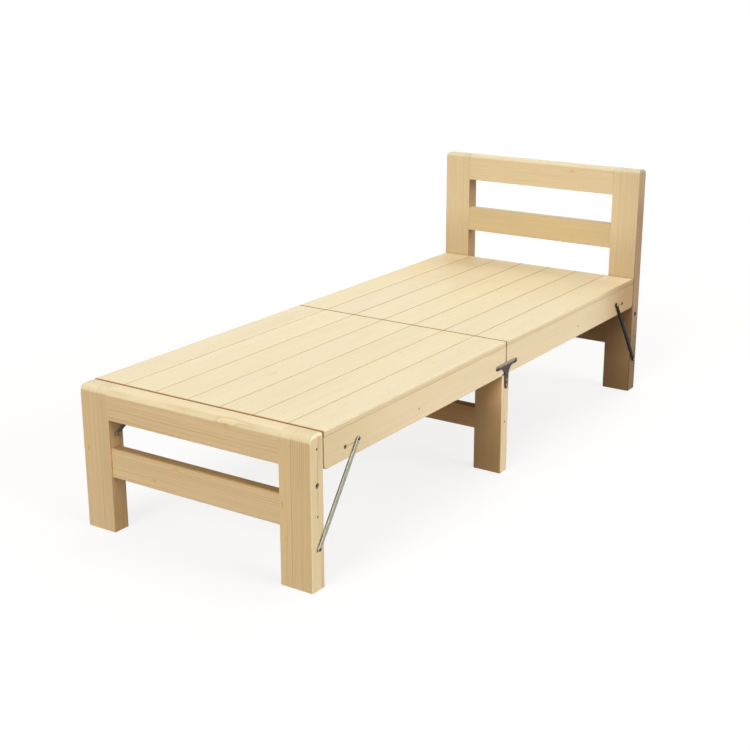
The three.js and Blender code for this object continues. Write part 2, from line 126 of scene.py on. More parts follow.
BRACKET_GUSSET = 0.027
BRACKET_PIVOT = 0.052
BRACKET_SCREW_DROPS = (0.046, 0.062)
BRACKET_RIM = (0.0066, 0.0018)
# The rounds of the rim on a bracket's top: at its inner side, outside below and outside above
RIM_ROUNDS = (0.0006, 0.0016, 0.0034)
# How far along the bed a strap's screw lies from the middle
STRAP_SCREW_PLACE = 0.8485
# How far a bolt's socket reaches, as a share of its head's radius, and how deep it is; how far a
# nut reaches, in shank radii, and how far it stands back from the bolt's end
BOLT_SOCKET = (0.52, 0.0035)
NUT = (1.8, 0.0014)
# A threaded insert's radius, its socket's reach and its length
INSERT = (0.0033, 0.0021, 0.012)
SHANK_BEVEL = 0.0008
# The width and depth of the cross slot in a screw's head
CROSS_SLOT = (0.0012, 0.0011)
# How long a stay's flat ends are, and over what length its flanges rise beside them
STAY_TONGUE = 0.040
STAY_RISE = 0.012
# The rounds at the feet of posts and legs, on the side rails' upper corners, at the strap blocks'
# ends, and on the edges of bolts, nuts and sockets
LEG_END = 0.0015
RAIL_UPPER = 0.0008
BLOCK_END = 0.001
FINE_EDGE = 0.0006
# The gaps between pieces that lie on each other: steel on steel, board on board, steel on wood and
# a strap on its post
SEAT = 0.00005
SEAM_GAP = 0.0001
WOOD_GAP = 0.0003
STRAP_GAP = 0.0004
# How far a plug hole lies above or below the middle of the rail whose tenon it holds
PLUG_RISE = {"top_rail": 0.007, "lower_rail": -0.004}


def paint(red, green, blue):
    """A colour as it is seen on a screen, 0 to 255, as the linear numbers that Blender keeps."""
    seen = np.array([red, green, blue]) / 255
    return tuple(np.where(seen <= 0.04045, seen / 12.92, ((seen + 0.055) / 1.055) ** 2.4))


def millimetres(name, description, size):
    return FloatProperty(name=name, description=description, default=size / 1000, min=0.0,
                         unit="LENGTH", precision=5)


def colour(name, description, *seen):
    return FloatVectorProperty(name=name, description=description, default=paint(*seen),
                               subtype="COLOR", min=0.0, max=1.0)


# Sizes and finishes that a user may change


class BedShapeSettings(bpy.types.PropertyGroup):
    """How far the planed and pressed edges are rounded."""

    slat_arris: millimetres("Slat arris", "Round along the slats' inner top edges", 1.2)
    deck_round: millimetres("Deck edge round", "Round along the deck's two long edges", 5)
    slat_end: millimetres("Slat end", "Round over the slats' sawn ends", 1.0)
    rail_ease: millimetres("Rail edge", "Round along the side rails' lower edges", 2.2)
    rail_end_round: millimetres("Rail end corner", "Side rail's lower corner at the bed's end", 14)
    rail_joint_round: millimetres("Rail joint corner", "Side rail's lower corner at the joint", 26)
    plain_arris: millimetres("Plain arris", "Round on boards under the deck", 1.5)
    post_arris: millimetres("Post arris", "Round on the posts' outer upright edges", 2.4)
    post_crown: millimetres("Post side crown", "Round of a post's top towards the bed's side", 8)
    outer_crown: millimetres("Outer crown", "Round of the end frames' tops away from the deck", 20)
    foot_crown: millimetres("Foot inner crown", "Round of the foot frame's top at the deck", 3)
    head_crown: millimetres("Head inner crown", "Round of the headboard's top at the deck", 12)
    mid_crown: millimetres("Middle rail crown", "Round of the headboard's middle rail", 8)
    lower_arris: millimetres("Lower rail arris", "Round on the end frames' lower rails", 4)
    seam_ease: millimetres("Glued seam", "Round at a rail's end where it meets its post", 0.5)
    leg_arris: millimetres("Leg arris", "Round on the middle legs' upright edges", 2)
    plug_radius: millimetres("Plug hole", "Radius of the small holes over the tenons", 2.8)
    plug_depth: millimetres("Plug hole depth", "Depth of the small holes over the tenons", 6)
    steel_ease: millimetres("Steel edge", "Round on the straps' and brackets' edges", 0.45)
    bend_radius: millimetres("Stay bend", "Outer radius of the stays' pressed bends", 1.9)
    tongue_half: millimetres("Stay tongue", "Half the width of the stays' flat ends", 6.2)


class BedWoodSettings(bpy.types.PropertyGroup):
    """Colours of the pine and how strongly its grain shows."""

    deck: colour("Deck", "Pine of the deck's slats", 239, 226, 191)
    rail: colour("Side rails", "Pine of the deck's side rails", 229, 210, 174)
    foot: colour("Foot frame", "Pine of the foot frame and the middle legs", 224, 196, 149)
    head: colour("Headboard", "Pine of the headboard frame", 224, 203, 160)
    under: colour("Under the deck", "Pine of the boards under the deck", 208, 173, 126)
    ring_spacing: millimetres("Ring spacing", "Mean width of a year ring", 5.2)
    ring_strength: FloatProperty(name="Ring strength", description="How dark the late wood shows",
                                 default=0.55, min=0.0, max=1.0, subtype="FACTOR")
    wear: FloatProperty(name="Edge wear", description="How much the edges are rubbed",
                        default=0.5, min=0.0, max=1.0, subtype="FACTOR")


class BedSteelSettings(bpy.types.PropertyGroup):
    """Colours of the steel parts."""

    zinc: colour("Zinc", "Zinc-plated steel of the foot stays", 158, 158, 143)
    screw: colour("Screws", "Plated steel of the screws and nuts", 150, 140, 134)
    bolt: colour("Bolts", "Dull yellowish steel of the sunk bolts", 122, 100, 66)
    # The head's bolts are darker and browner than the foot's as painted shade
    stained_bolt: colour("Stained bolts", "Brown steel of the bolts at the headboard", 92, 64, 32)
    brass: colour("Inserts", "Yellow plating of the threaded inserts", 206, 184, 120)
    bracket: colour("Brackets", "Brown-grey paint of the T brackets", 54, 45, 50)
    stay: colour("Head stays", "Black paint of the head stays", 9, 8, 7)
    strap: colour("Straps", "Grey paint of the straps", 94, 98, 88)
    # Also the colour of the painted highlight on the upper side of brackets and straps
    bare: colour("Worn edge", "Bare steel that shows where paint is rubbed off", 160, 146, 126)
    roughness: FloatProperty(name="Roughness", description="Mean roughness of the steel",
                             default=0.46, min=0.05, max=1.0, subtype="FACTOR")


class BedStageSettings(bpy.types.PropertyGroup):
    """Floor, light and camera."""

    floor: colour("Floor", "Colour of the floor under the bed", 104, 93, 78)
    sky: colour("Sky", "Tint of the even light from all round", 255, 242, 228)
    low_sky: FloatProperty(name="Low sky", description="Strength of the even light from all round",
                           default=0.09, min=0.0, max=2.0)
    high_sky: FloatProperty(name="High sky", description="What the light gains overhead",
                            default=0.28, min=0.0, max=2.0)
    top: FloatProperty(name="Top light", description="Share of full light from behind and above",
                       default=0.28, min=0.0, max=2.0)
    side: FloatProperty(name="Side light", description="Share of full light from the right",
                        default=0.80, min=0.0, max=2.0)
    front: FloatProperty(name="Front light", description="Share of full light from the foot",
                         default=0.66, min=0.0, max=2.0)
    place: FloatVectorProperty(name="Camera", description="Where the camera stands",
                               default=(2.143291, -3.334697, 1.505514), subtype="XYZ", unit="LENGTH")
    azimuth: FloatProperty(name="Azimuth", description="Camera's turn round the bed",
                           default=math.radians(33.720), subtype="ANGLE")
    elevation: FloatProperty(name="Elevation", description="Camera's height as an angle",
                             default=math.radians(17.788), subtype="ANGLE")
    roll: FloatProperty(name="Roll", description="Camera's tilt", default=math.radians(-0.079),
                        subtype="ANGLE")
    focal_pixels: IntProperty(name="Focal length", description="In pixels of the square picture",
                              default=1369, subtype="PIXEL")


SETTINGS = {
    "pine_bed_shape": BedShapeSettings,
    "pine_bed_wood": BedWoodSettings,
    "pine_bed_steel": BedSteelSettings,
    "pine_bed_stage": BedStageSettings,
}


def shape_settings():
    return bpy.context.scene.pine_bed_shape


# Shells: a shell is (points, faces) of one closed skin whose faces look outward


def skin(rings):
    """A closed skin over rings given as (m, n, 3): quads join each ring to the next one, and one
    face closes each end. If the rings run the other way round, every face is turned over."""
    m, n = rings.shape[:2]
    first = np.arange(m - 1)[:, None] * n
    here, following = np.arange(n)[None, :], (np.arange(n)[None, :] + 1) % n
    quads = np.stack([first + here, first + following, first + n + following, first + n + here], -1)
    last = (m - 1) * n + np.arange(n)
    faces = quads.reshape(-1, 4).tolist() + [np.arange(n)[::-1].tolist(), last.tolist()]
    end = rings[-1]
    looks = np.cross(end, np.roll(end, -1, axis=0)).sum(0)
    if looks @ (end.mean(0) - rings[0].mean(0)) < 0:
        faces = [face[::-1] for face in faces]
    return rings.reshape(-1, 3), faces


def outlines(low, high, radii, steps=6):
    """Rounded rectangles, one for each row of low and high, corners in the order low-low, high-low,
    high-high, low-high: a corner is its centre + radius x (cos t, sin t) over a quarter turn."""
    low, high, radii = (np.atleast_2d(np.asarray(a, float)) for a in (low, high, radii))
    radii = np.maximum(radii, 1e-5)
    corner = np.stack([low, np.c_[high[:, 0], low[:, 1]], high, np.c_[low[:, 0], high[:, 1]]], 1)
    inward = np.array([[1, 1], [-1, 1], [-1, -1], [1, -1]])
    centre = corner + inward * radii[..., None]
    turn = np.radians([180, 270, 0, 90])[:, None] + np.linspace(0, QUARTER, steps + 1)
    spokes = np.stack([np.cos(turn), np.sin(turn)], -1)
    points = centre[:, :, None] + radii[..., None, None] * spokes
    return points.reshape(len(points), -1, 2)


def carried(flat, places, along):
    """Flat outlines (m, n, 2) carried along an axis to m places, as rings (m, n, 3)."""
    rings = np.empty(flat.shape[:2] + (3,))
    rings[..., along] = np.asarray(places)[:, None]
    rings[..., [a for a in (X, Y, Z) if a != along]] = flat
    return rings


def eased(ease, steps=4):
    """A rounded end: for an angle a from 0 to a quarter turn, the outline is drawn in by
    ease x (1 - sin a) at ease x (1 - cos a) from the end."""
    angle = np.linspace(0, QUARTER, steps + 1)
    return ease * (1 - np.sin(angle)), ease * (1 - np.cos(angle))


def board(low, high, along, radii, ease):
    """A planed board: a rounded outline carried along it, drawn in over its eased ends."""
    low, high = np.asarray(low, float), np.asarray(high, float)
    cross = [a for a in (X, Y, Z) if a != along]
    inset, place = eased(ease)
    inset = np.r_[inset, inset[::-1]][:, None]
    places = np.r_[low[along] + place, high[along] - place[::-1]]
    flat = outlines(low[cross] + inset, high[cross] - inset, np.asarray(radii) - inset)
    return skin(carried(flat, places, along))


def drawn_in(outline, distance):
    """A closed outline (n, 2) that runs anticlockwise, moved inward: each point goes along the mean
    of its two edges' inward directions, divided by the cosine of half the bend."""
    edge = np.roll(outline, -1, axis=0) - outline
    inward = np.c_[-edge[:, 1], edge[:, 0]] / np.linalg.norm(edge, axis=1, keepdims=True)
    mean = inward + np.roll(inward, 1, axis=0)
    mean /= np.linalg.norm(mean, axis=1, keepdims=True)
    bend = np.maximum((mean * inward).sum(1, keepdims=True), 0.5)
    return outline + mean * distance / bend


def plate(outline, x0, x1, ease):
    """A flat plate: its outline in y and z carried from x0 to x1, drawn in over both faces' edges."""
    inset, place = eased(ease, 3)
    inset = np.r_[inset, inset[::-1]]
    places = np.r_[x0 + place, x1 - place[::-1]]
    flat = np.stack([drawn_in(outline, d) if d else outline for d in inset])
    return skin(carried(flat, places, X))


def turned(centre, profile, count=32):
    """A turned part on an axis across the bed through (y, z): a profile of (x, radius) rows goes
    round it, each row a ring of centre + radius x (cos t, sin t)."""
    profile = np.asarray(profile, float)
    turn = np.linspace(0, 2 * math.pi, count, endpoint=False)
    spokes = np.stack([np.cos(turn), np.sin(turn)], -1)
    flat = np.asarray(centre) + profile[:, 1, None, None] * spokes
    return skin(carried(flat, profile[:, 0], X))


def shank(place, side, face, base, size):
    """A round shank from its base to a bevelled tip, which lies its length inside a face."""
    radius, tip, length = size
    return turned(place, [[face - side * length, tip],
                          [face - side * (length - SHANK_BEVEL), radius], [base, radius]], 20)


def domed(side, base, radius, height, steps=6):
    """Rows of a domed head from its base outward: the radius falls by the cosine and the height
    grows by the sine of an angle that stops short of the pole, where a small flat is left."""
    angle = np.linspace(0, math.radians(72), steps)
    rise = np.sin(angle) / np.sin(angle[-1])
    rows = np.c_[base + side * height * (0.25 + 0.75 * rise), radius * np.cos(angle)]
    return np.r_[[[base, radius * 0.97], [base + side * height * 0.2, radius]], rows]


def eyed_bar(start, end, half, eye, count=26):
    """Outline of a bar that widens to a round eye at each end: both eyes' arcs stop where the
    circle is as wide as the bar, at the angle whose sine is half / eye."""
    start, end = np.asarray(start, float), np.asarray(end, float)
    way = math.atan2(*(end - start)[::-1])
    turn = np.linspace(1, -1, count) * (math.asin(half / eye) - math.pi)
    rounds = [centre + eye * np.stack([np.cos(way + turn + lead), np.sin(way + turn + lead)], -1)
              for centre, lead in ((start, math.pi), (end, 0.0))]
    return np.concatenate(rounds)


def hexagon(place, across, x0, x1):
    """A hexagon with its corners at `across` from its place, carried along X with eased edges."""
    turn = np.radians(np.arange(6) * 60 + 30)
    outline = np.asarray(place) + across * np.stack([np.cos(turn), np.sin(turn)], -1)
    return plate(outline, *sorted((x0, x1)), FINE_EDGE)


def cross_slot(place, face, side, reach):
    """A tool for the cross slot in a screw's head: a plus-shaped outline sunk into its face."""
    width, depth = CROSS_SLOT
    r, w = reach, width / 2
    plus = np.array([(-w, -r), (w, -r), (w, -w), (r, -w), (r, w), (w, w),
                     (w, r), (-w, r), (-w, w), (-r, w), (-r, -w), (-w, -w)])
    return plate(np.asarray(place) + plus, *sorted((face - side * depth, face + side * 0.002)),
                 0.00002)


def joined(shells):
    """Several shells as one list of points and faces."""
    points, faces, count = [], [], 0
    for shell_points, shell_faces in shells:
        points.append(shell_points)
        faces += [[count + i for i in face] for face in shell_faces]
        count += len(shell_points)
    return np.concatenate(points), faces


# Pieces


def new_object(name, shells):
    """An object of closed shells, linked to the scene."""
    points, faces = joined(shells)
    mesh = bpy.data.meshes.new(name)
    mesh.from_pydata(points.tolist(), [], faces)
    mesh.update()
    obj = bpy.data.objects.new(name, mesh)
    bpy.context.scene.collection.objects.link(obj)
    return obj


def bore(obj, tools):
    """Cuts the tools' shells out of a piece and keeps the result as its mesh."""
    cutter = new_object("cutter", tools)
    modifier = obj.modifiers.new("bore", "BOOLEAN")
    modifier.object, modifier.operation, modifier.solver = cutter, "DIFFERENCE", "EXACT"
    depsgraph = bpy.context.evaluated_depsgraph_get()
    cut = bpy.data.meshes.new_from_object(obj.evaluated_get(depsgraph))
    obj.modifiers.clear()
    spare, obj.data = obj.data, cut
    bpy.data.meshes.remove(spare)
    bpy.data.meshes.remove(cutter.data)
    cut.name = obj.name


def smooth(obj, angle=38):
    """Smooth shading over rounds, flat shading over flats, and creases kept sharp."""
    mesh = obj.data
    mesh.polygons.foreach_set("use_smooth", np.ones(len(mesh.polygons), bool))
    mesh.set_sharp_from_angle(angle=math.radians(angle))
    even = obj.modifiers.new("even shading", "WEIGHTED_NORMAL")
    even.keep_sharp = True


def piece(name, node, shells, material, tools=(), stands_for=True):
    """Makes a piece of the bed, lets it ride on its node's body and, where it stands for its
    node, hides that node.
    """
    obj = new_object(name, shells)
    if tools:
        bore(obj, tools)
    smooth(obj)
    obj.data.materials.append(material)
    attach(obj, frame["nodes"][node]["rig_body"])
    if stands_for:
        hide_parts(node)


def limits(node):
    """A node's lowest and highest corner at rest."""
    low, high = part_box(node)
    return np.array(low), np.array(high)


def centre_of(node):
    """The place in y and z of a node that lies round an axis across the bed."""
    low, high = limits(node)
    return ((low + high) / 2)[1:]


def outward(node):
    """1 for a node on the bed's right side and -1 for one on its left."""
    low, high = limits(node)
    return 1 if low[X] + high[X] > 0 else -1


def side_faces(node):
    """The places in X of a node's outer and of its inner face."""
    low, high = limits(node)
    return (high[X], low[X]) if outward(node) > 0 else (low[X], high[X])


def away(end):
    """1 at the head end and -1 at the foot end: the way out of the bed along Y."""
    return 1 if end == "head" else -1


def ends_of(node, margin):
    """The two ends of a slanting part in y and z: the low one at the post, the high one in the
    deck. Its box is larger than them by margin all round."""
    low, high = limits(node)
    low, high = low[1:] + margin, high[1:] - margin
    if node.startswith("head"):
        return np.array([high[0], low[1]]), np.array([low[0], high[1]])
    return low, high


def drilled(node, place, size):
    """A tool for a blind round hole into a node's outer face, with an eased mouth and a drill's
    cone."""
    radius, depth = size
    side, face = outward(node), side_faces(node)[0]
    mouth = 0.0005
    return turned(place, [
        [face + side * 0.001, radius + mouth * 2],
        [face + side * 1e-5, radius + mouth],
        [face - side * mouth, radius],
        [face - side * (depth - radius * 0.4), radius],
        [face - side * depth, radius * 0.1],
    ])


# Shader graphs


class Value:
    """One output of a shader graph. Sums and products on it add Math nodes."""

    def __init__(self, graph, socket):
        self.graph, self.socket = graph, socket

    def __add__(self, other):
        return self.graph.math("ADD", self, other)

    __radd__ = __add__

    def __sub__(self, other):
        return self.graph.math("SUBTRACT", self, other)

    def __rsub__(self, other):
        return self.graph.math("SUBTRACT", other, self)

    def __mul__(self, other):
        return self.graph.math("MULTIPLY", self, other)

    __rmul__ = __mul__

    def __truediv__(self, other):
        return self.graph.math("DIVIDE", self, other)

    def __pow__(self, other):
        return self.graph.math("POWER", self, other)

    def __abs__(self):
        return self.graph.math("ABSOLUTE", self)


def hypotenuse(a, b):
    """The length of a line that goes a one way and b square to it."""
    return (a * a + b * b) ** 0.5


class Graph:
    """The nodes of a material or a world."""

    def __init__(self, owner):
        owner.use_nodes = True
        self.owner, self.tree = owner, owner.node_tree
        self.tree.nodes.clear()

    def node(self, kind, settings=None, values=None, outlet=0):
        """Adds a node: its settings first, then the values or links of its sockets."""
        node = self.tree.nodes.new(kind)
        for name, value in (settings or {}).items():
            setattr(node, name, value)
        for name, value in (values or {}).items():
            if isinstance(value, Value):
                self.tree.links.new(value.socket, node.inputs[name])
            else:
                node.inputs[name].default_value = value
        return Value(self, node.outputs[outlet] if node.outputs else None)

    def math(self, operation, *values):
        return self.node("ShaderNodeMath", {"operation": operation}, dict(enumerate(values)))

    def point(self, x, y, z):
        return self.node("ShaderNodeCombineXYZ", None, {0: x, 1: y, 2: z})

    def noise(self, vector, scale=1.0, detail=2.0, roughness=0.5):
        return self.node("ShaderNodeTexNoise", None, {
            "Vector": vector, "Scale": scale, "Detail": detail, "Roughness": roughness})

    def step(self, value, low, high):
        """Rises smoothly from 0 at low to 1 at high, or falls where low is the greater."""
        return self.node("ShaderNodeMapRange", {"interpolation_type": "SMOOTHSTEP"}, {
            "Value": value, "From Min": low, "From Max": high, "To Min": 0.0, "To Max": 1.0})

    def mix(self, share, first, second):
        """From the first colour to the second one."""
        def whole(shade):
            return shade if isinstance(shade, Value) else (*shade, 1)
        return self.node("ShaderNodeMix", {"data_type": "RGBA"},
                         {0: share, 6: whole(first), 7: whole(second)}, 2)

    def paint_light_and_shade(self, share, shade, dye):
        """Multiplies the colour by a factor, by a share: painted shade below 1, light above 1."""
        return self.node("ShaderNodeMix", {"data_type": "RGBA", "blend_type": "MULTIPLY"},
                         {0: share, 6: shade, 7: (*dye, 1)}, 2)

    def scaled(self, shade, amount):
        return self.node("ShaderNodeVectorMath", {"operation": "SCALE"},
                         {"Vector": shade, "Scale": amount})

    def parts(self, vector):
        """A vector's three numbers."""
        node = self.node("ShaderNodeSeparateXYZ", None, {0: vector}).socket.node
        return [Value(self, output) for output in node.outputs]

    def coordinates(self):
        """Object coordinates as three values, and the face's direction in them."""
        return [self.parts(self.node("ShaderNodeTexCoord", outlet=name))
                for name in ("Object", "Normal")]

    def finish(self, shade, roughness, height, depth, constants):
        """Ends the graph in a Principled shader with a Bump."""
        bump = self.node("ShaderNodeBump", None,
                         {"Strength": 0.6, "Distance": depth, "Height": height})
        shader = self.node("ShaderNodeBsdfPrincipled", None, {
            "Base Color": shade, "Roughness": roughness, "Normal": bump, **constants})
        self.node("ShaderNodeOutputMaterial", None, {"Surface": shader})
        return self.owner


def tinted(shade, red, green, blue):
    """A colour times a tint."""
    return tuple(c * t for c, t in zip(shade, (red, green, blue)))


# Wood and steel

# Tints of the wood: late wood, flecks, resin and the painted shade inside a hole, and a knot's
# halo and core
LATE_WOOD = (0.76, 0.62, 0.44)
FLECK = (0.80, 0.66, 0.46)
RESIN = (0.72, 0.50, 0.16)
RECESS = (0.30, 0.19, 0.10)
PALE_KNOT = ((0.99, 0.95, 0.70), (0.94, 0.86, 0.47))
BROWN_KNOT = ((0.98, 0.90, 0.68), (0.86, 0.71, 0.44))
# How far the second stave's rings are moved from the first one's, how long knots are for their
# width, how far the rings sway and ripple, and how far in from an edge the wood is rubbed
STAVE_SHIFT = 0.037
KNOT_LENGTH = 3.2
RING_SWAY = 0.011
RING_RIPPLE = 0.004
WEAR_WIDTH = 0.0045
# How squarely a face looks along the board where end grain begins and where it is full, and how
# squarely it looks a way where that way's painted light and shade begin and are full
END_GRAIN = (0.35, 0.8)
FACE_PAINT_RANGE = (0.08, 0.4)
# How far in from the bed's outermost side a hole's painted shade begins and is full, and how far in
# from a sawn end the painted shade at the end does
HOLE_REACH = (0.022, 0.020)
END_REACH = (0.0034, 0.0012)


def pine(node, kind, low, high, along, knots=(), holes=(), seam=None, streak=None, strength=1.0,
         tones=(), end_dye=None, knot_tints=BROWN_KNOT, pith=(1.3, 2.4)):
    """Planed pine, in the colour that the wood's settings give for its kind. Year rings are
    cylinders about a slightly slanting pith beside the board, so a wide face shows arches, a narrow
    one straight lines and an end the rings themselves. strength is how plainly they show and pith
    how far off the pith lies, in half widths. knots are (place along, place across, size) on the
    wide face, holes (y, z, radius, darkness) in the outer side, darkness being how strong the
    painted shade inside the hole is, seam a place across where another stave is glued on and streak
    (y0, y1, z) a thin line of resin. A painted shade can darken the last millimetres at both sawn
    ends, and faces can carry painted shade and painted light as (axis, way, factor, start, stop):
    the faces that look that way are multiplied by the factor, which paints shade below 1 and light
    above 1, all over or, where start and stop are given, more and more along the board from start
    to stop."""
    name = f"{node} pine"
    settings = bpy.context.scene.pine_bed_wood
    graph = Graph(bpy.data.materials.new(name))
    chance = np.random.default_rng(zlib.crc32(name.encode()))
    low, high = np.asarray(low, float), np.asarray(high, float)
    middle, half = (low + high) / 2, (high - low) / 2
    places, looks = graph.coordinates()
    cross = [a for a in (X, Y, Z) if a != along]
    thin, wide = sorted(cross, key=lambda a: half[a])
    run, across, through = (places[a] - float(middle[a]) for a in (along, wide, thin))
    shift = chance.uniform(-50, 50, 3)
    tone, warmth = 1 + chance.uniform(-0.016, 0.016), 1 + chance.uniform(-0.03, 0.03)
    shade = tinted(getattr(settings, kind), tone, tone, tone * warmth)
    spacing = settings.ring_spacing * chance.uniform(0.85, 1.2)
    pith_across = chance.choice([-1, 1]) * chance.uniform(*pith) * half[wide]
    pith_through = chance.choice([-1, 1]) * chance.uniform(0.03, 0.09)
    slant = chance.uniform(0.002, 0.009) * chance.choice([-1, 1], 2)

    # The second stave of a glued board has its own rings and tone.
    stave = 0.0
    if seam is not None:
        stave = graph.step(places[wide], seam - 0.0001, seam + 0.0001)
        across = across + stave * STAVE_SHIFT

    def grain(stretch, fine, *shifts, detail=1.0, roughness=0.5):
        """Noise drawn out along the board, its places moved by the shifts of these numbers."""
        spots = [run * stretch, across * fine, through * fine]
        for axis, number in enumerate(shifts):
            spots[axis] = spots[axis] + shift[number]
        return graph.noise(graph.point(*spots), 1.0, detail, roughness)

    # Knots push the rings aside, and have a halo and a core.
    sway = grain(1.6, 7.0, 0, 1, 2, detail=2.0) - 0.5
    ripple = grain(9.0, 22.0, 1, 0) - 0.5
    knot_push, knot_core, knot_halo = 0.0, 0.0, 0.0
    for along_at, across_at, size in knots:
        far = hypotenuse((places[along] - along_at) / (size * KNOT_LENGTH),
                         (places[wide] - across_at) / size)
        near = graph.step(far, 2.2, 0.0)
        knot_push = knot_push + near * near * (size * 1.3)
        knot_halo = knot_halo + near * near * 0.5
        knot_core = knot_core + graph.step(far + sway * 0.8, 0.62, 0.25)

    # Each ring darkens towards its late wood and stops short, more in some years and patches.
    pith_u = across - pith_across - run * float(slant[0])
    pith_v = through - pith_through - run * float(slant[1])
    radius = hypotenuse(pith_u, pith_v) + sway * RING_SWAY + ripple * RING_RIPPLE + knot_push
    rings = radius / spacing
    part = graph.math("FRACT", rings)
    year = graph.math("FLOOR", rings)
    vigour = graph.node("ShaderNodeTexWhiteNoise", {"noise_dimensions": "1D"},
                        {"W": year + shift[0]})
    patches = grain(2.4, 18.0, 2)
    late = ((part ** 3.5) * graph.step(part, 1.0, 0.9) * (vigour * 1.4 + 0.2)
            * (graph.step(patches, 0.36, 0.62) * 0.75 + 0.25))

    # Finer marks, all drawn out along the board
    fibre = grain(22.0, 900.0, 1, detail=3.0, roughness=0.6)
    streaks = grain(2.2, 120.0, 2, detail=2.0, roughness=0.55)
    clouds = grain(3.0, 14.0, 0, detail=3.0)
    dashes = graph.step(grain(55.0, 620.0, 2, 1), 0.66, 0.76)
    flecks = graph.step(grain(13.0, 340.0, 1, 0), 0.69, 0.78)

    # Wear: how near a point lies to the board's second nearest face
    depths = [float(half[a]) - abs(p) for a, p in (
        (along, run), (wide, places[wide] - float(middle[wide])), (thin, through))]
    small = graph.math("MINIMUM", depths[0], depths[1])
    large = graph.math("MAXIMUM", depths[0], depths[1])
    second = graph.math("MAXIMUM", small, graph.math("MINIMUM", large, depths[2]))
    rubbed = graph.step(second + (clouds - 0.5) * 0.006, WEAR_WIDTH, 0.0) * settings.wear

    # Colour: the rings and flecks, a level from the finer marks, then knots and resin on the wood,
    # and painted shade in holes and at the sawn ends and painted light and shade on faces
    end_grain = graph.step(abs(looks[along]), *END_GRAIN)
    ring_share = late * (settings.ring_strength * strength) * (1 - end_grain * 0.94)
    base = graph.mix(ring_share, shade, tinted(shade, *LATE_WOOD))
    base = graph.mix(flecks * (1 - end_grain) * 0.4, base, tinted(shade, *FLECK))
    level = (1 + (clouds - 0.5) * 0.08 + (streaks - 0.5) * (0.17 * strength)
             + (fibre - 0.5) * 0.08 + rubbed * 0.06 - dashes * 0.11)
    level = level * (1 - end_grain * 0.04)
    if seam is not None:
        line = graph.step(abs(places[wide] - seam), 0.0009, 0.0003)
        level = level * (1 - stave * 0.035) * (1 - line * 0.22)
    base = graph.scaled(base, level)
    if knots:
        halo, core = knot_tints
        base = graph.mix(graph.math("MINIMUM", knot_halo, 0.7), base, tinted(shade, *halo))
        base = graph.mix(graph.math("MINIMUM", knot_core, 0.75), base, tinted(shade, *core))
    if streak is not None:
        first, last, height = streak
        line = (graph.step(abs(places[Z] - height), 0.0022, 0.0006)
                * graph.step(abs(places[Y] - (first + last) / 2), abs(last - first) / 2,
                             abs(last - first) / 2 - 0.004))
        base = graph.mix(line * 0.9 * graph.step(abs(looks[X]), 0.5, 0.9), base,
                         tinted(shade, *RESIN))
    # Painted shade inside each hole
    for y, z, size, dark in holes:
        from_middle = hypotenuse(places[Y] - y, places[Z] - z)
        inside = graph.step(from_middle, size * 1.22, size * 0.97)
        outer = graph.step(abs(places[X]), *(OUTER_SIDE - reach for reach in HOLE_REACH))
        base = graph.mix(inside * outer * dark, base, tinted(shade, *RECESS))
    # Painted shade over the last millimetres at the sawn ends
    if end_dye is not None:
        base = graph.paint_light_and_shade(graph.step(depths[0], *END_REACH), base, end_dye)
    # Painted shade and painted light on the faces that look a given way
    for axis, way, dye, *span in tones:
        share = graph.step(looks[axis] * way, *FACE_PAINT_RANGE)
        if span:
            share = share * graph.step(places[along], *span)
        base = graph.paint_light_and_shade(share, base, dye)
    roughness = 0.5 + (fibre - 0.5) * 0.16 - late * 0.06 + rubbed * 0.1 + end_grain * 0.12
    height = fibre * 0.5 + late * 0.5 + clouds * 0.4 - rubbed * 0.3
    return graph.finish(base, roughness, height, 0.00025, {"Specular IOR Level": 0.32})


# The tint of stained steel, how fine it is brushed along X and along the two slants between Y and
# Z, and how fine its stains and pits are
STAIN = (0.80, 0.76, 0.70)
BRUSHING = (500.0, 90.0, 900.0)
STAIN_SCALE = 75.0
PIT_SCALE = 1800.0
# A steel finish: how metallic it is, how worn its edges are, how strong a painted highlight in the
# bare steel's colour is on what looks upward, and how strongly it mirrors
FINISHES = {
    "zinc": (0.55, 0.4, 0.0, 0.35),
    "screw": (0.5, 0.5, 0.0, 0.35),
    "bolt": (0.2, 0.2, 0.0, 0.35),
    "stained_bolt": (0.0, 0.1, 0.0, 0.1),
    "brass": (0.3, 0.2, 0.0, 0.35),
    "bracket": (0.1, 0.6, 0.9, 0.35),
    "stay": (0.0, 0.1, 0.0, 0.08),
    "strap": (0.15, 0.6, 0.3, 0.35),
}
# The finish of each end's stays, of their rivets and hand screws, and of its bolts, whose darker
# colour at the head is painted shade
END_FINISHES = {"foot": ("zinc", "bracket", "bolt"), "head": ("stay", "screw", "stained_bolt")}


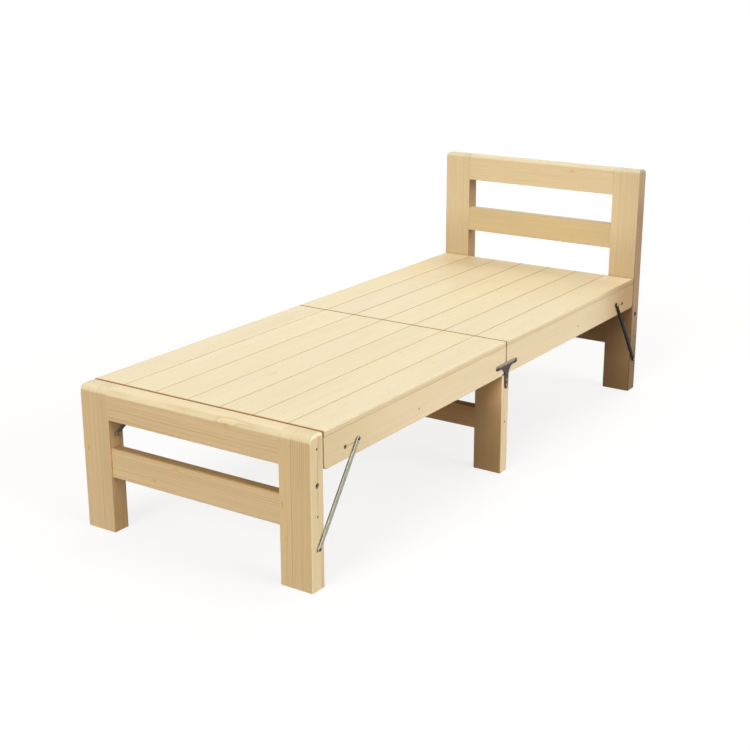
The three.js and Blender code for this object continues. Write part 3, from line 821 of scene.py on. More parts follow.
def steel(kind, rubbed_above=None):
    """Steel sheet or a turned part: a fine brushed streak, soft stains, a grain of small pits and
    bare metal where the face turns quickly, and a painted highlight in the bare metal's colour on
    its upper side and, where a height and a place along Y are given, above that height as far as
    that place."""
    name = f"{kind} steel" if rubbed_above is None else f"rubbed {kind} steel"
    if name in bpy.data.materials:
        return bpy.data.materials[name]
    settings = bpy.context.scene.pine_bed_steel
    shade = tuple(getattr(settings, kind))
    metallic, worn, top_highlight, mirror = FINISHES[kind]
    graph = Graph(bpy.data.materials.new(name))
    (x, y, z), looks = graph.coordinates()
    place = graph.point(x, y, z)
    fine = [a * b for a, b in zip((x, y + z, z - y), BRUSHING)]
    brushed = graph.noise(graph.point(*fine), 1.0, 2.0)
    stains = graph.noise(place, STAIN_SCALE, 4.0, 0.6)
    pits = graph.noise(place, PIT_SCALE, 2.0)
    edge = graph.node("ShaderNodeNewGeometry", outlet="Pointiness")
    rubbed = graph.step(edge + (stains - 0.5) * 0.04, 0.53, 0.60) * worn
    # Painted highlight in the bare steel's colour on faces that look upward, and where a height is
    # given, above it
    upper = graph.step(looks[Z] + (stains - 0.5) * 0.5, 0.1, 0.7) * top_highlight
    if rubbed_above is not None:
        height, reach = rubbed_above
        strip = graph.step(z + (stains - 0.5) * 0.002, height - 0.0007, height + 0.0007)
        upper = graph.math("MAXIMUM", upper, strip * graph.step(y, reach, reach - 0.03) * 0.75)
    base = graph.mix(graph.step(stains, 0.42, 0.75), shade, tinted(shade, *STAIN))
    base = graph.scaled(base, 1 + (brushed - 0.5) * 0.25)
    base = graph.mix(graph.math("MAXIMUM", rubbed, upper), base, tuple(settings.bare))
    roughness = settings.roughness + (brushed - 0.5) * 0.2 + (stains - 0.5) * 0.2 - rubbed * 0.1
    return graph.finish(base, roughness, brushed * 0.5 + pits * 0.5 + stains, 0.00012,
                        {"Metallic": metallic, "Specular IOR Level": mirror})


def steel_piece(name, node, shells, kind, tools=(), stands_for=True, rubbed_above=None):
    """A piece of steel in the material of its finish."""
    piece(name, node, shells, steel(kind, rubbed_above), tools, stands_for)


def make_board(node, kind, low, high, along, radii, ease, slot, form="board", tools=(), **looks):
    """A board whose shape is carried along its grain. looks are what its pine is to show."""
    piece(f"{node}_{form}", node, [board(low, high, along, radii, ease)],
          pine(node, kind, low, high, along, **looks), tools)


def make_rail(node, between, kind, radii, slot="frame_pine", form="timber", **looks):
    """A board that runs across the bed between two others, which are named without their side."""
    low, high = limits(node)
    reach = limits(f"{between}_right")[0][X] - SEAM_GAP
    low[X], high[X] = -reach, reach
    make_board(node, kind, low, high, X, radii, shape_settings().seam_ease, slot, form, **looks)


# The deck

# Small pale knots on the deck, as (x, y, size) in metres
DECK_KNOTS = [
    (-0.263, -0.408, 0.008), (-0.148, -0.287, 0.006), (0.172, -0.030, 0.008), (0.178, -0.415, 0.007),
    (0.303, -0.288, 0.008), (-0.001, -0.606, 0.008), (0.299, -0.706, 0.007), (-0.290, -0.760, 0.006),
    (-0.010, 0.619, 0.007), (-0.019, 0.320, 0.006), (0.296, 0.296, 0.007), (-0.230, 0.480, 0.007),
    (0.170, 0.700, 0.006), (-0.330, 0.150, 0.006), (0.090, 0.150, 0.007),
]


# Painted shade on the deck's faces: those that stand in a gap, the last millimetres beside one, its
# long edges, and the side rails' tops and ends
JOINT_GAP_PAINTED_SHADE = (0.42, 0.31, 0.18)
SLAT_END_PAINTED_SHADE = (0.74, 0.58, 0.42)
FOOT_SEAM_PAINTED_SHADE = (0.60, 0.51, 0.39)
OUTER_GAP_PAINTED_SHADE = (0.66, 0.50, 0.30)
HEAD_SEAM_PAINTED_SHADE = (0.44, 0.35, 0.25)
DECK_EDGE_PAINTED_SHADE = (0.79, 0.745, 0.68)
RAIL_TOP_PAINTED_SHADE = (0.80, 0.74, 0.62)
RAIL_JOINT_PAINTED_SHADE = (0.56, 0.47, 0.33)
RAIL_END_PAINTED_SHADE = (0.86, 0.80, 0.70)
# Painted shade and light that come on along the bed towards its ends: the factor, and from where to
# where it comes on. The head's deck and its outer edges and both ends of the side rails darken by
# painted shade, the rails more beside the head posts, and the deck by the head posts is paler by
# painted light.
HEAD_DECK_PAINTED_SHADE = ((0.97, 0.91, 0.80), 0.2, 0.85)
HEAD_DECK_SIDE_PAINTED_SHADE = ((0.56, 0.48, 0.35), 0.56, 0.84)
DECK_BY_POST_PAINTED_LIGHT = ((1.14, 1.15, 1.25), 0.78, 0.86)
RAIL_OUTWARD_PAINTED_SHADE = {"foot": ((0.88, 0.86, 0.79), -0.45, -0.93), "head": ((0.68, 0.60, 0.50), 0.45, 0.93)}
RAIL_BY_POST_PAINTED_SHADE = ((0.77, 0.68, 0.53), 0.62, 0.84)
# How far in from the foot end the slats' tops carry painted shade: where it comes on and where it
# is full
FOOT_END_SHADE_REACH = (0.0065, 0.003)


def slat_radii(index):
    """The rounds of a slat's long edges: two below, then the right and the left one above."""
    sizes = shape_settings()
    left = sizes.deck_round if index == SLATS[0] else sizes.slat_arris
    right = sizes.deck_round if index == SLATS[-1] else sizes.slat_arris
    return [sizes.slat_end, sizes.slat_end, right, left]


def slat_tones(index, end, low):
    """A slat's painted light and shade: painted shade on its ends, on the sides that meet a neighbour
    and on the deck's own long edges, more on those edges towards the headboard; on its top painted
    shade by the foot end at the foot, and at the head painted shade towards the headboard with
    painted light by the posts."""
    tones = [(Y, -away(end), JOINT_GAP_PAINTED_SHADE), (Y, away(end), OUTER_GAP_PAINTED_SHADE)]
    for way, outermost in ((-1, SLATS[0]), (1, SLATS[-1])):
        if index != outermost:
            tones.append((X, way, HEAD_SEAM_PAINTED_SHADE if end == "head" else FOOT_SEAM_PAINTED_SHADE))
        else:
            tones.append((X, way, DECK_EDGE_PAINTED_SHADE))
            if end == "head":
                tones += [(X, way, *HEAD_DECK_SIDE_PAINTED_SHADE), (Z, 1, *DECK_BY_POST_PAINTED_LIGHT)]
    if end == "head":
        tones.append((Z, 1, *HEAD_DECK_PAINTED_SHADE))
    else:
        tones.append((Z, 1, OUTER_GAP_PAINTED_SHADE, *(low[Y] + reach for reach in FOOT_END_SHADE_REACH)))
    return tones


class PINEBED_OT_slats(bpy.types.Operator):
    """Make the deck's slats, each a board that runs along the bed"""

    bl_idname = "pine_bed.slats"
    bl_label = "Slats"

    def execute(self, context):
        sizes = shape_settings()
        for end in ENDS:
            for index in SLATS:
                # The head half is the foot half turned round, so its slats count from the right.
                node = f"{end}_slat_{index}"
                low, high = limits(node)
                from_left = index if low[Y] < 0 else len(SLATS) + 1 - index
                knots = [(y, x, size) for x, y, size in DECK_KNOTS
                         if low[X] < x < high[X] and low[Y] < y < high[Y]]
                # Painted shade at the slat's sawn ends, and painted light and shade on its faces
                make_board(node, "deck", low, high, Y, slat_radii(from_left), sizes.slat_end,
                           "deck_pine", knots=knots, strength=0.6, end_dye=SLAT_END_PAINTED_SHADE,
                           tones=slat_tones(from_left, end, low), knot_tints=PALE_KNOT)
        return {"FINISHED"}


def storage_place(end, label):
    """Where a freed stay's hand screw goes into the side rail: a stay's length from its rivet, as
    high as the strap bolt."""
    foot, top = ends_of(f"{end}_stay_{label}", STAY_HALF)
    height = centre_of(f"{end}_strap_bolt_{label}")[1]
    along = math.sqrt(((top - foot) ** 2).sum() - (top[1] - height) ** 2)
    return np.array([top[0] - away(end) * along, height])


# How dark the painted shade in a bolt's recess is, and in a plug hole
BOLT_HOLE_PAINTED_SHADE = {"foot": 0.35, "head": 1.0}
PLUG_PAINTED_SHADE = {"foot": 0.85, "head": 0.2, "middle": 0.7}


def threaded_insert(name, node, place):
    """The yellow threaded insert that a hand screw goes into, with a hexagon socket. It lies in
    the hole and rides with the wood."""
    side, face = outward(node), side_faces(node)[0]
    radius, socket, length = INSERT
    rows = [[face - side * length, radius * 0.85], [face - side * (length - 0.0005), radius],
            [face - side * 0.0007, radius], [face - side * 0.0002, radius * 0.88]]
    cut = hexagon(place, socket, face - side * 0.005, face + side * 0.001)
    steel_piece(name, node, [turned(place, rows, 24)], "brass", [cut], stands_for=False)


class PINEBED_OT_side_rails(bpy.types.Operator):
    """Make the deck's side rails with their bolt and screw holes"""

    bl_idname = "pine_bed.side_rails"
    bl_label = "Side Rails"

    def execute(self, context):
        sizes = shape_settings()
        for end, label in CORNERS:
            node = f"{end}_side_rail_{label}"
            low, high = limits(node)
            bolt = centre_of(f"{end}_strap_bolt_{label}")
            store = storage_place(end, label)
            rivet = ends_of(f"{end}_stay_{label}", STAY_HALF)[1]
            corners = [sizes.rail_end_round, sizes.rail_joint_round]
            if end == "head":
                corners.reverse()
            # Painted shade along the rail, more and more towards the bed's end and at the head beside
            # the post, and on the rail's ends and top
            painted_shades_along = [RAIL_OUTWARD_PAINTED_SHADE[end]]
            if end == "head":
                painted_shades_along.append(RAIL_BY_POST_PAINTED_SHADE)
            tones = [(Y, away(end), RAIL_END_PAINTED_SHADE), (Y, -away(end), RAIL_JOINT_PAINTED_SHADE), (Z, 1, RAIL_TOP_PAINTED_SHADE)]
            tones += [(X, way, *painted_run) for painted_run in painted_shades_along for way in (1, -1)]
            material = pine(node, "rail", low, high, Y, strength=0.6, tones=tones,
                            holes=[(*bolt, BOLT_RECESS["strap"][0], BOLT_HOLE_PAINTED_SHADE[end])],
                            streak=(bolt[0], rivet[0], bolt[1]))
            piece(f"{node}_board", node,
                  [board(low, high, X, [*corners, RAIL_UPPER, RAIL_UPPER], sizes.rail_ease)],
                  material, [drilled(node, bolt, BOLT_RECESS["strap"]),
                                          drilled(node, store, HAND_SCREW_HOLE)])
            threaded_insert(f"{node}_insert", node, store)
        return {"FINISHED"}


class PINEBED_OT_cross_members(bpy.types.Operator):
    """Make the boards under the slats and the blocks that carry the straps"""

    bl_idname = "pine_bed.cross_members"
    bl_label = "Cross Members"

    def execute(self, context):
        radii = [shape_settings().plain_arris] * 4
        for end in ENDS:
            for member in ("end_rail", "bearer", "joint_rail"):
                make_rail(f"{end}_{member}", f"{end}_side_rail", "under", radii, "hidden_pine",
                          "board")
            for label in SIDES:
                node = f"{end}_strap_block_{label}"
                make_board(node, "under", *limits(node), Y, radii, BLOCK_END, "hidden_pine")
        return {"FINISHED"}


# The end frames and the middle legs

# Painted light and shade on the end frames' and middle legs' faces. The outer sides of the foot
# posts and middle legs are paler than their fronts by painted light, those of the head posts
# browner by painted shade, and most are browner low down by painted shade, where an entry has the
# heights from which and to which it comes on beside it. The foot posts' inner sides, the tops and
# the middle legs' faces and cross rail are paler by painted light; the head posts' inner sides and
# fronts, the foot lower rail's top and the fronts of the headboard's mid and lower rails are darker
# by painted shade.
CHEEK_PAINTED_LIGHT = (0.97, 1.05, 1.2)
HEAD_CHEEK_PAINTED_SHADE = (0.59, 0.51, 0.46)
HEAD_CHEEK_LOW_PAINTED_SHADE = ((0.78, 0.70, 0.67), 0.72, 0.60)
HEAD_CHEEK_FLOOR_PAINTED_SHADE = ((0.45, 0.41, 0.27), 0.36, 0.08)
FOOT_WITHIN_PAINTED_LIGHT = (1.16, 1.12, 1.0)
FOOT_INSIDE_LOW_PAINTED_SHADE = ((0.57, 0.49, 0.43), 0.26, 0.02)
HEAD_WITHIN_PAINTED_SHADE = (0.56, 0.46, 0.38)
HEAD_BY_DECK_PAINTED_SHADE = ((0.80, 0.74, 0.68), 0.62, 0.40)
HEAD_UNDER_DECK_PAINTED_SHADE = ((0.80, 0.66, 0.54), 0.33, 0.28)
HEAD_FRONT_LOW_PAINTED_SHADE = ((0.76, 0.72, 0.70), 0.14, 0.02)
LEG_FRONT_PAINTED_LIGHT = (1.15, 1.07, 1.0)
LEG_FACE_LOW_PAINTED_SHADE = ((0.62, 0.56, 0.50), 0.28, 0.02)
LEG_FACE_TOP_PAINTED_LIGHT = ((1.46, 1.40, 1.50), 0.16, 0.27)
CROSS_RAIL_PAINTED_LIGHT = (1.36, 1.28, 1.20)
PAINTED_TOP_LIGHT = {"foot": (1.12, 1.30, 1.52), "head": (1.06, 1.14, 1.28)}
MID_RAIL_PAINTED_SHADE = (0.87, 0.83, 0.78)
LOW_RAIL_PAINTED_SHADE = (0.88, 0.76, 0.64)
FOOT_LOWER_TOP_PAINTED_SHADE = (0.74, 0.64, 0.50)
# How far off the pith of the uprights lies, in half widths
POST_PITH = (2.3, 3.4)


def post_tones(end, side):
    """A post's painted light and shade: painted light on its top; at the foot painted light on its
    outer and its inner side, with painted shade low on the inner side; at the head painted shade on
    its outer side, more of it downward, on its inner side, and on its front near the deck, under it
    and towards the floor."""
    tones = [(Z, 1, PAINTED_TOP_LIGHT[end])]
    if end == "foot":
        return tones + [(X, side, CHEEK_PAINTED_LIGHT), (X, -side, FOOT_WITHIN_PAINTED_LIGHT),
                        (X, -side, *FOOT_INSIDE_LOW_PAINTED_SHADE)]
    return tones + [(X, side, HEAD_CHEEK_PAINTED_SHADE), (X, side, *HEAD_CHEEK_LOW_PAINTED_SHADE),
                    (X, side, *HEAD_CHEEK_FLOOR_PAINTED_SHADE), (X, -side, HEAD_WITHIN_PAINTED_SHADE),
                    (Y, -1, *HEAD_BY_DECK_PAINTED_SHADE), (Y, -1, *HEAD_UNDER_DECK_PAINTED_SHADE), (Y, -1, *HEAD_FRONT_LOW_PAINTED_SHADE)]


def post_shell(low, high, side, end, inner_crown):
    """Rings go up the post. Near the top each side is drawn in along its own quarter circle, by
    r - sqrt(r^2 - h^2) at a height h above that circle's foot."""
    sizes = shape_settings()
    inset, place = eased(LEG_END)
    rise = np.linspace(0, QUARTER, 15)
    heights = np.r_[low[Z] + place, high[Z] - sizes.outer_crown * (1 - np.sin(rise))]
    inset = np.r_[inset, np.zeros(len(rise))]

    def drawn(radius):
        over = np.clip(heights - (high[Z] - radius), 0, radius)
        return radius - np.sqrt(radius ** 2 - over ** 2) + inset

    outer_y, inner_y, outer_x = drawn(sizes.outer_crown), drawn(inner_crown), drawn(sizes.post_crown)
    by_x = (inset, outer_x) if side > 0 else (outer_x, inset)
    by_y = (outer_y, inner_y) if end == "foot" else (inner_y, outer_y)
    lows = np.stack([low[X] + by_x[0], low[Y] + by_y[0]], -1)
    highs = np.stack([high[X] - by_x[1], high[Y] - by_y[1]], -1)
    arris, plain = sizes.post_arris, sizes.seam_ease
    radii = [plain, arris, arris, plain] if side > 0 else [arris, plain, plain, arris]
    return skin(carried(outlines(lows, highs, radii), heights, Z))


def make_posts(end, rails, inner_crown, knots, seam_share, strength):
    """An end frame's two posts, each with the holes over the tenons of the rails, its bolt's recess
    and its insert."""
    sizes = shape_settings()
    plug = (sizes.plug_radius, sizes.plug_depth)
    for label in SIDES:
        node = f"{end}_post_{label}"
        side = outward(node)
        low, high = limits(node)
        bolt = centre_of(f"{end}_frame_bolt_{label}")
        screw_at = ends_of(f"{end}_stay_{label}", STAY_HALF)[0]
        middle = (low[Y] + high[Y]) / 2
        plugs = [np.array([middle, centre_of(f"{end}_{rail}")[1] + PLUG_RISE.get(rail, 0.0)])
                 for rail in rails]
        outer, inner = side_faces(node)
        # The post's pine carries painted light and shade on its faces and painted shade in its holes
        material = pine(
            node, end, low, high, Z, knots=knots.get(label, ()), strength=strength,
            seam=outer + (inner - outer) * seam_share, pith=POST_PITH, tones=post_tones(end, side),
            holes=[(*bolt, BOLT_RECESS["frame"][0], BOLT_HOLE_PAINTED_SHADE[end])]
            + [(*place, plug[0], PLUG_PAINTED_SHADE[end]) for place in plugs])
        tools = [drilled(node, bolt, BOLT_RECESS["frame"]),
                 drilled(node, screw_at, HAND_SCREW_HOLE)]
        tools += [drilled(node, place, plug) for place in plugs]
        piece(f"{node}_timber", node, [post_shell(low, high, side, end, inner_crown)],
              material, tools)
        threaded_insert(f"{node}_insert", node, screw_at)


class PINEBED_OT_foot_frame(bpy.types.Operator):
    """Make the foot frame: two posts, a top rail and a lower rail"""

    bl_idname = "pine_bed.foot_frame"
    bl_label = "Foot Frame"

    def execute(self, context):
        sizes = shape_settings()
        arris = sizes.post_arris
        make_posts("foot", ("top_rail", "lower_rail"), sizes.foot_crown,
                   {"right": [(0.212, 0.285, 0.005)], "left": [(0.226, -0.353, 0.005)]},
                   seam_share=0.62, strength=1.2)
        # Painted light on the top rail's top, and painted shade on its face at the deck and on the
        # lower rail's top
        make_rail("foot_top_rail", "foot_post", "foot",
                  [arris, arris, sizes.foot_crown, sizes.outer_crown], strength=1.3,
                  knots=[(0.116, 0.383, 0.008)], tones=[(Z, 1, PAINTED_TOP_LIGHT["foot"]), (Y, 1, OUTER_GAP_PAINTED_SHADE)])
        make_rail("foot_lower_rail", "foot_post", "foot", [sizes.lower_arris] * 4, strength=1.3,
                  knots=[(-0.13, 0.18, 0.006), (-0.058, 0.225, 0.005)],
                  tones=[(Z, 1, FOOT_LOWER_TOP_PAINTED_SHADE)])
        return {"FINISHED"}


class PINEBED_OT_headboard(bpy.types.Operator):
    """Make the headboard frame: two long posts and three rails"""

    bl_idname = "pine_bed.headboard"
    bl_label = "Headboard"

    def execute(self, context):
        sizes = shape_settings()
        arris, mid = sizes.post_arris, sizes.mid_crown
        make_posts("head", ("crest_rail", "mid_rail", "lower_rail"), sizes.head_crown, {},
                   seam_share=0.74, strength=0.6)
        # Painted light on the crest rail's top, and painted shade on the fronts of the mid and lower
        # rails
        make_rail("head_crest_rail", "head_post", "head",
                  [arris, arris, sizes.outer_crown, sizes.head_crown], strength=0.8,
                  knots=[(0.123, 0.742, 0.007)], tones=[(Z, 1, PAINTED_TOP_LIGHT["head"])])
        make_rail("head_mid_rail", "head_post", "head", [arris, arris, mid, mid], strength=0.8,
                  tones=[(Y, -1, MID_RAIL_PAINTED_SHADE)])
        make_rail("head_lower_rail", "head_post", "head", [sizes.lower_arris] * 4, strength=1.3,
                  tones=[(Y, -1, LOW_RAIL_PAINTED_SHADE)])
        return {"FINISHED"}


class PINEBED_OT_middle_frame(bpy.types.Operator):
    """Make the middle leg frame: two legs and a cross rail"""

    bl_idname = "pine_bed.middle_frame"
    bl_label = "Middle Legs"

    def execute(self, context):
        sizes = shape_settings()
        radii = [sizes.leg_arris] * 4
        # Painted light on the cross rail's faces and on the legs' sides and faces, and painted shade
        # low on the legs' faces
        make_rail("middle_cross_rail", "middle_leg", "under", radii, "hidden_pine",
                  tones=[(Y, 1, CROSS_RAIL_PAINTED_LIGHT), (Y, -1, CROSS_RAIL_PAINTED_LIGHT)])
        hole = centre_of("middle_cross_rail")
        tones = [(X, 1, CHEEK_PAINTED_LIGHT), (X, -1, CHEEK_PAINTED_LIGHT)]
        for way in (1, -1):
            tones += [(Y, way, LEG_FRONT_PAINTED_LIGHT), (Y, way, *LEG_FACE_LOW_PAINTED_SHADE), (Y, way, *LEG_FACE_TOP_PAINTED_LIGHT)]
        for label in SIDES:
            node = f"middle_leg_{label}"
            make_board(node, "foot", *limits(node), Z, radii, LEG_END, "frame_pine", "timber",
                       [drilled(node, hole, (sizes.plug_radius, sizes.plug_depth))], strength=0.8,
                       holes=[(*hole, sizes.plug_radius, PLUG_PAINTED_SHADE["middle"])], pith=POST_PITH,
                       tones=tones)
        return {"FINISHED"}


# The steelwork


def fastener(name, node, place, side, face, head, kind):
    """A separate domed head with a cross slot, which lies on a face and rides with the part that
    it holds."""
    radius, height = head
    base = face + side * SEAT
    top = face + side * height
    steel_piece(name, node, [turned(place, domed(side, base, radius, height - SEAT))], kind,
                [cross_slot(place, top, side, radius * 0.55)], stands_for=False)


def stay_shell(foot, top, side, front, depth):
    """A pressed channel carried from its foot to its top. At each place along it the half width
    and the flange's depth are functions of the distance s to the nearer end: the half width is
    sqrt(R^2 - (R - s)^2) over the round end, then the tongue's, then the full one, and the
    flanges rise by 3t^2 - 2t^3 where the tongue ends."""
    sizes = shape_settings()
    tongue = sizes.tongue_half
    seated = STAY_SHEET + SEAT
    way = np.asarray(top) - np.asarray(foot)
    span = float(np.linalg.norm(way))
    way = way / span
    normal = np.array([-way[1], way[0]])
    reach = span + 2 * STAY_HALF
    near = STAY_HALF * (1 - np.cos(np.linspace(0.12, QUARTER, 12)))
    rising = STAY_TONGUE + np.array([0, 0.0025, 0.005, 0.0075, 0.010, 0.013, 0.016])
    s = np.r_[near, STAY_TONGUE / 2, rising, reach / 2]
    along = np.r_[s, reach - s[-2::-1]]
    s = np.r_[s, s[-2::-1]]
    rise = np.clip((s - STAY_TONGUE) / STAY_RISE, 0, 1)
    rise = rise * rise * (3 - 2 * rise)
    full = tongue + (STAY_HALF - tongue) * rise
    over = np.clip(STAY_HALF - s, 0, STAY_HALF) / STAY_HALF
    half = full * np.sqrt(1 - over ** 2)
    sunk = seated + (depth - seated) * rise
    bend = np.minimum(sizes.bend_radius, half * 0.45)
    inner_half = np.maximum(half - STAY_SHEET, half * 0.2)
    inner_bend = np.minimum(0.0006, (sunk - STAY_SHEET) * 0.5)
    turn = np.linspace(0, QUARTER, 5)
    cos, sin = np.cos(turn)[None], np.sin(turn)[None]
    h, b, i, k, d = (v[:, None] for v in (half, bend, inner_half, inner_bend, sunk))
    across = np.concatenate([
        -h, -h + b - b * cos, h - b + b * sin, h, i, i - k + k * cos, -i + k - k * sin, -i], 1)
    behind = np.concatenate([
        d, b - b * sin, b - b * cos, d, d, STAY_SHEET + k - k * sin, STAY_SHEET + k - k * cos, d], 1)
    start = np.asarray(foot) - way * STAY_HALF
    flat = start + along[:, None, None] * way + across[..., None] * normal
    rings = np.concatenate([(front - side * behind)[..., None], flat], -1)
    return skin(rings)


class PINEBED_OT_stays(bpy.types.Operator):
    """Make the four pressed steel stays with their rivets and hand screws"""

    bl_idname = "pine_bed.stays"
    bl_label = "Stays"

    def execute(self, context):
        for end, label in CORNERS:
            bar, heads = END_FINISHES[end][:2]
            node = f"{end}_stay_{label}"
            side = outward(node)
            foot, top = ends_of(node, STAY_HALF)
            front = side_faces(node)[0] - side * STAY_HEAD[1]
            wood = side_faces(f"{end}_side_rail_{label}")[0]
            gap = wood + side * WOOD_GAP
            back = front - side * (STAY_SHEET + SEAT)
            (radius, rim), edge = STAY_WASHER, side * 0.0004
            washer = [[gap, rim], [gap + edge, radius], [back - edge, radius], [back, rim]]
            shells = [stay_shell(foot, top, side, front, abs(front - gap)),
                      turned(foot, washer), turned(top, washer),
                      shank(top, side, wood, gap - side * SEAT, RIVET_SHANK)]
            steel_piece(f"{node}_channel", node, shells, bar)
            for job, place in (("hand_screw", foot), ("rivet", top)):
                fastener(f"{node}_{job}", node, place, side, front, STAY_HEAD, heads)
        return {"FINISHED"}


def bracket_outline(low, high):
    """The T's outline in y and z, anticlockwise: half rounds at both arms and at the narrower end
    of the stem, and a quarter-round fillet of the gusset's radius in each inner corner. Each arc is
    its centre + radius x (cos t, sin t)."""
    arm, stem, tip, fillet = BRACKET_ARM, BRACKET_STEM, BRACKET_TIP, BRACKET_GUSSET
    level = high[Z] - arm
    corner = level - arm - fillet

    def arc(y, z, radius, start, stop, count=16):
        turn = np.radians(np.linspace(start, stop, count))
        return np.stack([y + radius * np.cos(turn), z + radius * np.sin(turn)], -1)

    return np.concatenate([
        arc(low[Y] + arm, level, arm, 90, 270),
        arc(-stem - fillet, corner, fillet, 90, 0),
        arc(0, low[Z] + tip, tip, 180, 360),
        arc(stem + fillet, corner, fillet, 180, 90),
        arc(high[Y] - arm, level, arm, -90, 90),
    ])


class PINEBED_OT_brackets(bpy.types.Operator):
    """Make the two T brackets with their studs and wood screws"""

    bl_idname = "pine_bed.brackets"
    bl_label = "T Brackets"

    def execute(self, context):
        for label in SIDES:
            node = f"t_bracket_{label}"
            side = outward(node)
            low, high = limits(node)
            front = side_faces(node)[0] - side * STUD_HEAD[1]
            back = front - side * BRACKET_THICK
            level = high[Z] - BRACKET_ARM
            shells = [plate(bracket_outline(low, high), *sorted((back, front)),
                            shape_settings().steel_ease)]
            rim_height, rim_depth = BRACKET_RIM
            rim = sorted((back, front + side * rim_depth))
            inner, lower, upper = RIM_ROUNDS
            rounds = [inner, lower, upper, inner] if side > 0 else [lower, inner, inner, upper]
            shells.append(board((rim[0], low[Y] + BRACKET_ARM, high[Z] - rim_height),
                                (rim[1], high[Y] - BRACKET_ARM, high[Z]), Y, rounds, 0.002))
            shells += [shank((y, level), side, back, back - side * SEAT, STUD_SHANK)
                       for y in (-BRACKET_PIVOT, BRACKET_PIVOT)]
            steel_piece(f"{node}_plate", node, shells, "bracket",
                        rubbed_above=(high[Z] - rim_height, high[Y]))
            for job, y in (("foot_stud", -BRACKET_PIVOT), ("head_stud", BRACKET_PIVOT)):
                stud = domed(side, front + side * SEAT, STUD_HEAD[0], STUD_HEAD[1] - SEAT)
                steel_piece(f"{node}_{job}", node, [turned((y, level), stud)], "bracket",
                            stands_for=False)
            for number, drop in enumerate(BRACKET_SCREW_DROPS, 1):
                fastener(f"{node}_screw_{number}", node, (0.0, level - drop), side, front,
                         BRACKET_SCREW, "screw")
        return {"FINISHED"}


class PINEBED_OT_straps(bpy.types.Operator):
    """Make the four straps at the posts, and the strap and frame bolts"""

    bl_idname = "pine_bed.straps"
    bl_label = "Straps and Bolts"

    def execute(self, context):
        for end, label in CORNERS:
            node = f"{end}_strap_{label}"
            side = outward(node)
            outer = side_faces(f"{end}_post_{label}")[1] - side * STRAP_GAP
            inner = outer - side * STRAP_SHEET
            foot, top = ends_of(node, STRAP_EYE)
            outline = eyed_bar(foot, top, STRAP_HALF, STRAP_EYE)
            sheet = plate(outline, *sorted((inner, outer)), shape_settings().steel_ease)
            steel_piece(f"{node}_plate", node, [sheet], "strap")
            inset = abs(abs(foot[0]) - STRAP_SCREW_PLACE)
            screw = foot + (top - foot) * inset / abs(top[0] - foot[0])
            fastener(f"{node}_screw", node, screw, -side, inner, STRAP_SCREW, "screw")
            for job in ("strap", "frame"):
                self.make_bolt(f"{end}_{job}_bolt_{label}", job, side, inner, END_FINISHES[end][2])
        return {"FINISHED"}

    def make_bolt(self, node, job, side, strap_face, kind):
        """A bolt with a hexagon socket in its head, and a nut against the strap's inner face."""
        radius, (head, height) = BOLT_RADIUS[job], BOLT_HEAD[job]
        place = centre_of(node)
        outer_end, nut_end = side_faces(node)
        base, edge = outer_end - side * height, side * FINE_EDGE
        rows = [[nut_end + side * 0.0002, radius * 0.85], [nut_end + side * SHANK_BEVEL, radius],
                [base - edge, radius], [base - side * 0.0005, head * 0.94],
                [base, head], [outer_end - edge, head], [outer_end, head - FINE_EDGE]]
        reach, depth = BOLT_SOCKET
        socket = hexagon(place, head * reach, outer_end - side * depth, outer_end + side * 0.001)
        steel_piece(f"{node}_steel", node, [turned(place, rows)], kind, [socket])
        grip, set_back = NUT
        nut = hexagon(place, radius * grip, nut_end + side * set_back, strap_face - side * WOOD_GAP)
        steel_piece(f"{node}_nut", node, [nut], "screw", stands_for=False)


# The stage


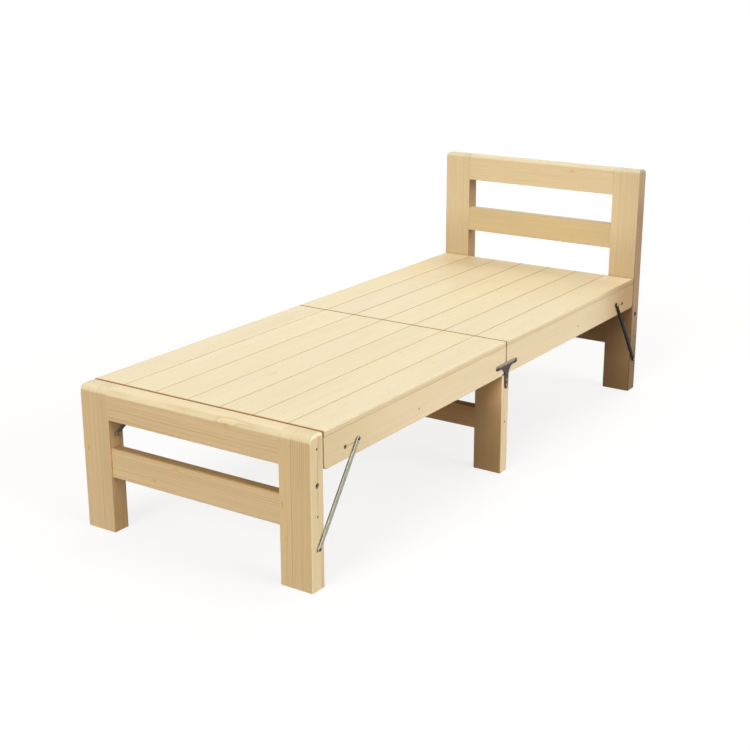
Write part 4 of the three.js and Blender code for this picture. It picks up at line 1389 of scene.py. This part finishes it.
class PINEBED_OT_stage(bpy.types.Operator):
    """Make the floor, the light and the camera"""

    bl_idname = "pine_bed.stage"
    bl_label = "Stage"

    def execute(self, context):
        stage = context.scene.pine_bed_stage
        scene = context.scene
        scene.view_settings.view_transform = "Standard"
        self.make_floor(stage)
        self.make_world(stage, scene)
        for setting, direction, width in LAMPS:
            lamp = bpy.data.lights.new(f"{setting} light", "SUN")
            lamp.energy, lamp.angle = getattr(stage, setting) * math.pi, math.radians(width)
            obj = bpy.data.objects.new(lamp.name, lamp)
            scene.collection.objects.link(obj)
            obj.matrix_world = facing(np.array(direction) / np.linalg.norm(direction), 0.0)
        self.make_camera(stage, scene)
        return {"FINISHED"}

    def make_floor(self, stage):
        """A level square grid: (i, j) goes to (i, j, 0) times its spacing."""
        line = np.linspace(-FLOOR_REACH, FLOOR_REACH, FLOOR_LINES)
        u, v = np.meshgrid(line, line, indexing="ij")
        points = np.stack([u, v, np.zeros_like(u)], -1).reshape(-1, 3)
        cell = np.arange(FLOOR_LINES - 1)
        first = (cell[:, None] * FLOOR_LINES + cell).reshape(-1, 1)
        faces = first + np.array([0, FLOOR_LINES, FLOOR_LINES + 1, 1])
        floor = new_object("floor", [(points, faces.tolist())])
        graph = Graph(bpy.data.materials.new("floor"))
        seen = seen_directly(graph)
        shade = tuple(stage.floor)
        plain = graph.node("ShaderNodeBsdfDiffuse", None, {"Color": (*shade, 1)})
        shaded = graph.node("ShaderNodeBsdfDiffuse", None, {"Color": (*[FLOOR_GREY] * 3, 1)})
        white = graph.node("ShaderNodeEmission", None,
                           {"Color": (1, 1, 1, 1), "Strength": FLOOR_GLOW})
        bright = graph.node("ShaderNodeAddShader", None, {0: shaded, 1: white})
        upper = graph.node("ShaderNodeMixShader", None, {0: seen, 1: plain, 2: bright})
        clear = graph.node("ShaderNodeBsdfTransparent")
        under = graph.node("ShaderNodeNewGeometry", outlet="Backfacing")
        both = graph.node("ShaderNodeMixShader", None, {0: under, 1: upper, 2: clear})
        graph.node("ShaderNodeOutputMaterial", None, {"Surface": both})
        floor.data.materials.append(graph.owner)

    def make_world(self, stage, scene):
        """Even light from all round that gains overhead, and plain white where it is seen."""
        graph = Graph(bpy.data.worlds.new("studio"))
        scene.world = graph.owner
        seen = seen_directly(graph)
        rise = graph.parts(graph.node("ShaderNodeTexCoord", outlet="Generated"))[Z]
        even = graph.math("MAXIMUM", rise, 0.0) * stage.high_sky + stage.low_sky
        lit = graph.node("ShaderNodeBackground", None,
                         {"Color": (*tuple(stage.sky), 1), "Strength": even})
        white = graph.node("ShaderNodeBackground", None, {"Color": (1, 1, 1, 1), "Strength": 1.0})
        sky = graph.node("ShaderNodeMixShader", None, {0: seen, 1: lit, 2: white})
        graph.node("ShaderNodeOutputWorld", None, {"Surface": sky})

    def make_camera(self, stage, scene):
        """The camera looks back along its azimuth and elevation, from its own place."""
        a, e = stage.azimuth, stage.elevation
        back = np.array([math.sin(a) * math.cos(e), -math.cos(a) * math.cos(e), math.sin(e)])
        lens = bpy.data.cameras.new("camera")
        lens.sensor_width = SENSOR
        lens.lens = stage.focal_pixels * SENSOR / PHOTO_SIDE
        lens.clip_start, lens.clip_end = 0.05, 200.0
        camera = bpy.data.objects.new("camera", lens)
        scene.collection.objects.link(camera)
        camera.matrix_world = Matrix.Translation(stage.place) @ facing(back, stage.roll)
        scene.camera = camera


def facing(back, roll):
    """The turn of a lamp or camera that looks against `back`, upright, then rolled."""
    right = np.cross([0.0, 0.0, 1.0], back)
    right /= np.linalg.norm(right)
    up = np.cross(back, right)
    cos, sin = math.cos(roll), math.sin(roll)
    columns = np.stack([right * cos + up * sin, up * cos - right * sin, back], 1)
    return Matrix(columns.tolist()).to_4x4()


def seen_directly(graph):
    """1 for a ray from the camera, a reflection or through glass."""
    camera, glossy, through = (graph.node("ShaderNodeLightPath", outlet=name) for name in (
        "Is Camera Ray", "Is Glossy Ray", "Is Transmission Ray"))
    return graph.math("MAXIMUM", camera, graph.math("MAXIMUM", glossy, through))


# The add-on

OPERATORS = (
    PINEBED_OT_slats, PINEBED_OT_side_rails, PINEBED_OT_cross_members, PINEBED_OT_foot_frame,
    PINEBED_OT_headboard, PINEBED_OT_middle_frame, PINEBED_OT_stays, PINEBED_OT_brackets,
    PINEBED_OT_straps, PINEBED_OT_stage,
)


class PINEBED_PT_panel(bpy.types.Panel):
    """Lists the operators in the sidebar"""

    bl_idname = "PINEBED_PT_panel"
    bl_label = "Folding Pine Bed"
    bl_space_type = "VIEW_3D"
    bl_region_type = "UI"
    bl_category = "Pine Bed"

    def draw(self, context):
        for operator in OPERATORS:
            self.layout.operator(operator.bl_idname)
        for name in SETTINGS:
            group = getattr(context.scene, name)
            box = self.layout.box()
            for key in group.bl_rna.properties.keys():
                if key not in {"rna_type", "name"}:
                    box.prop(group, key)


CLASSES = (*SETTINGS.values(), *OPERATORS, PINEBED_PT_panel)


def register():
    for kind in CLASSES:
        bpy.utils.register_class(kind)
    for name, kind in SETTINGS.items():
        setattr(bpy.types.Scene, name, PointerProperty(type=kind))


def unregister():
    for name in SETTINGS:
        delattr(bpy.types.Scene, name)
    for kind in reversed(CLASSES):
        bpy.utils.unregister_class(kind)


def main():
    register()
    for operator in OPERATORS:
        group, name = operator.bl_idname.split(".")
        getattr(getattr(bpy.ops, group), name)()


if __name__ == "__main__":
    main()
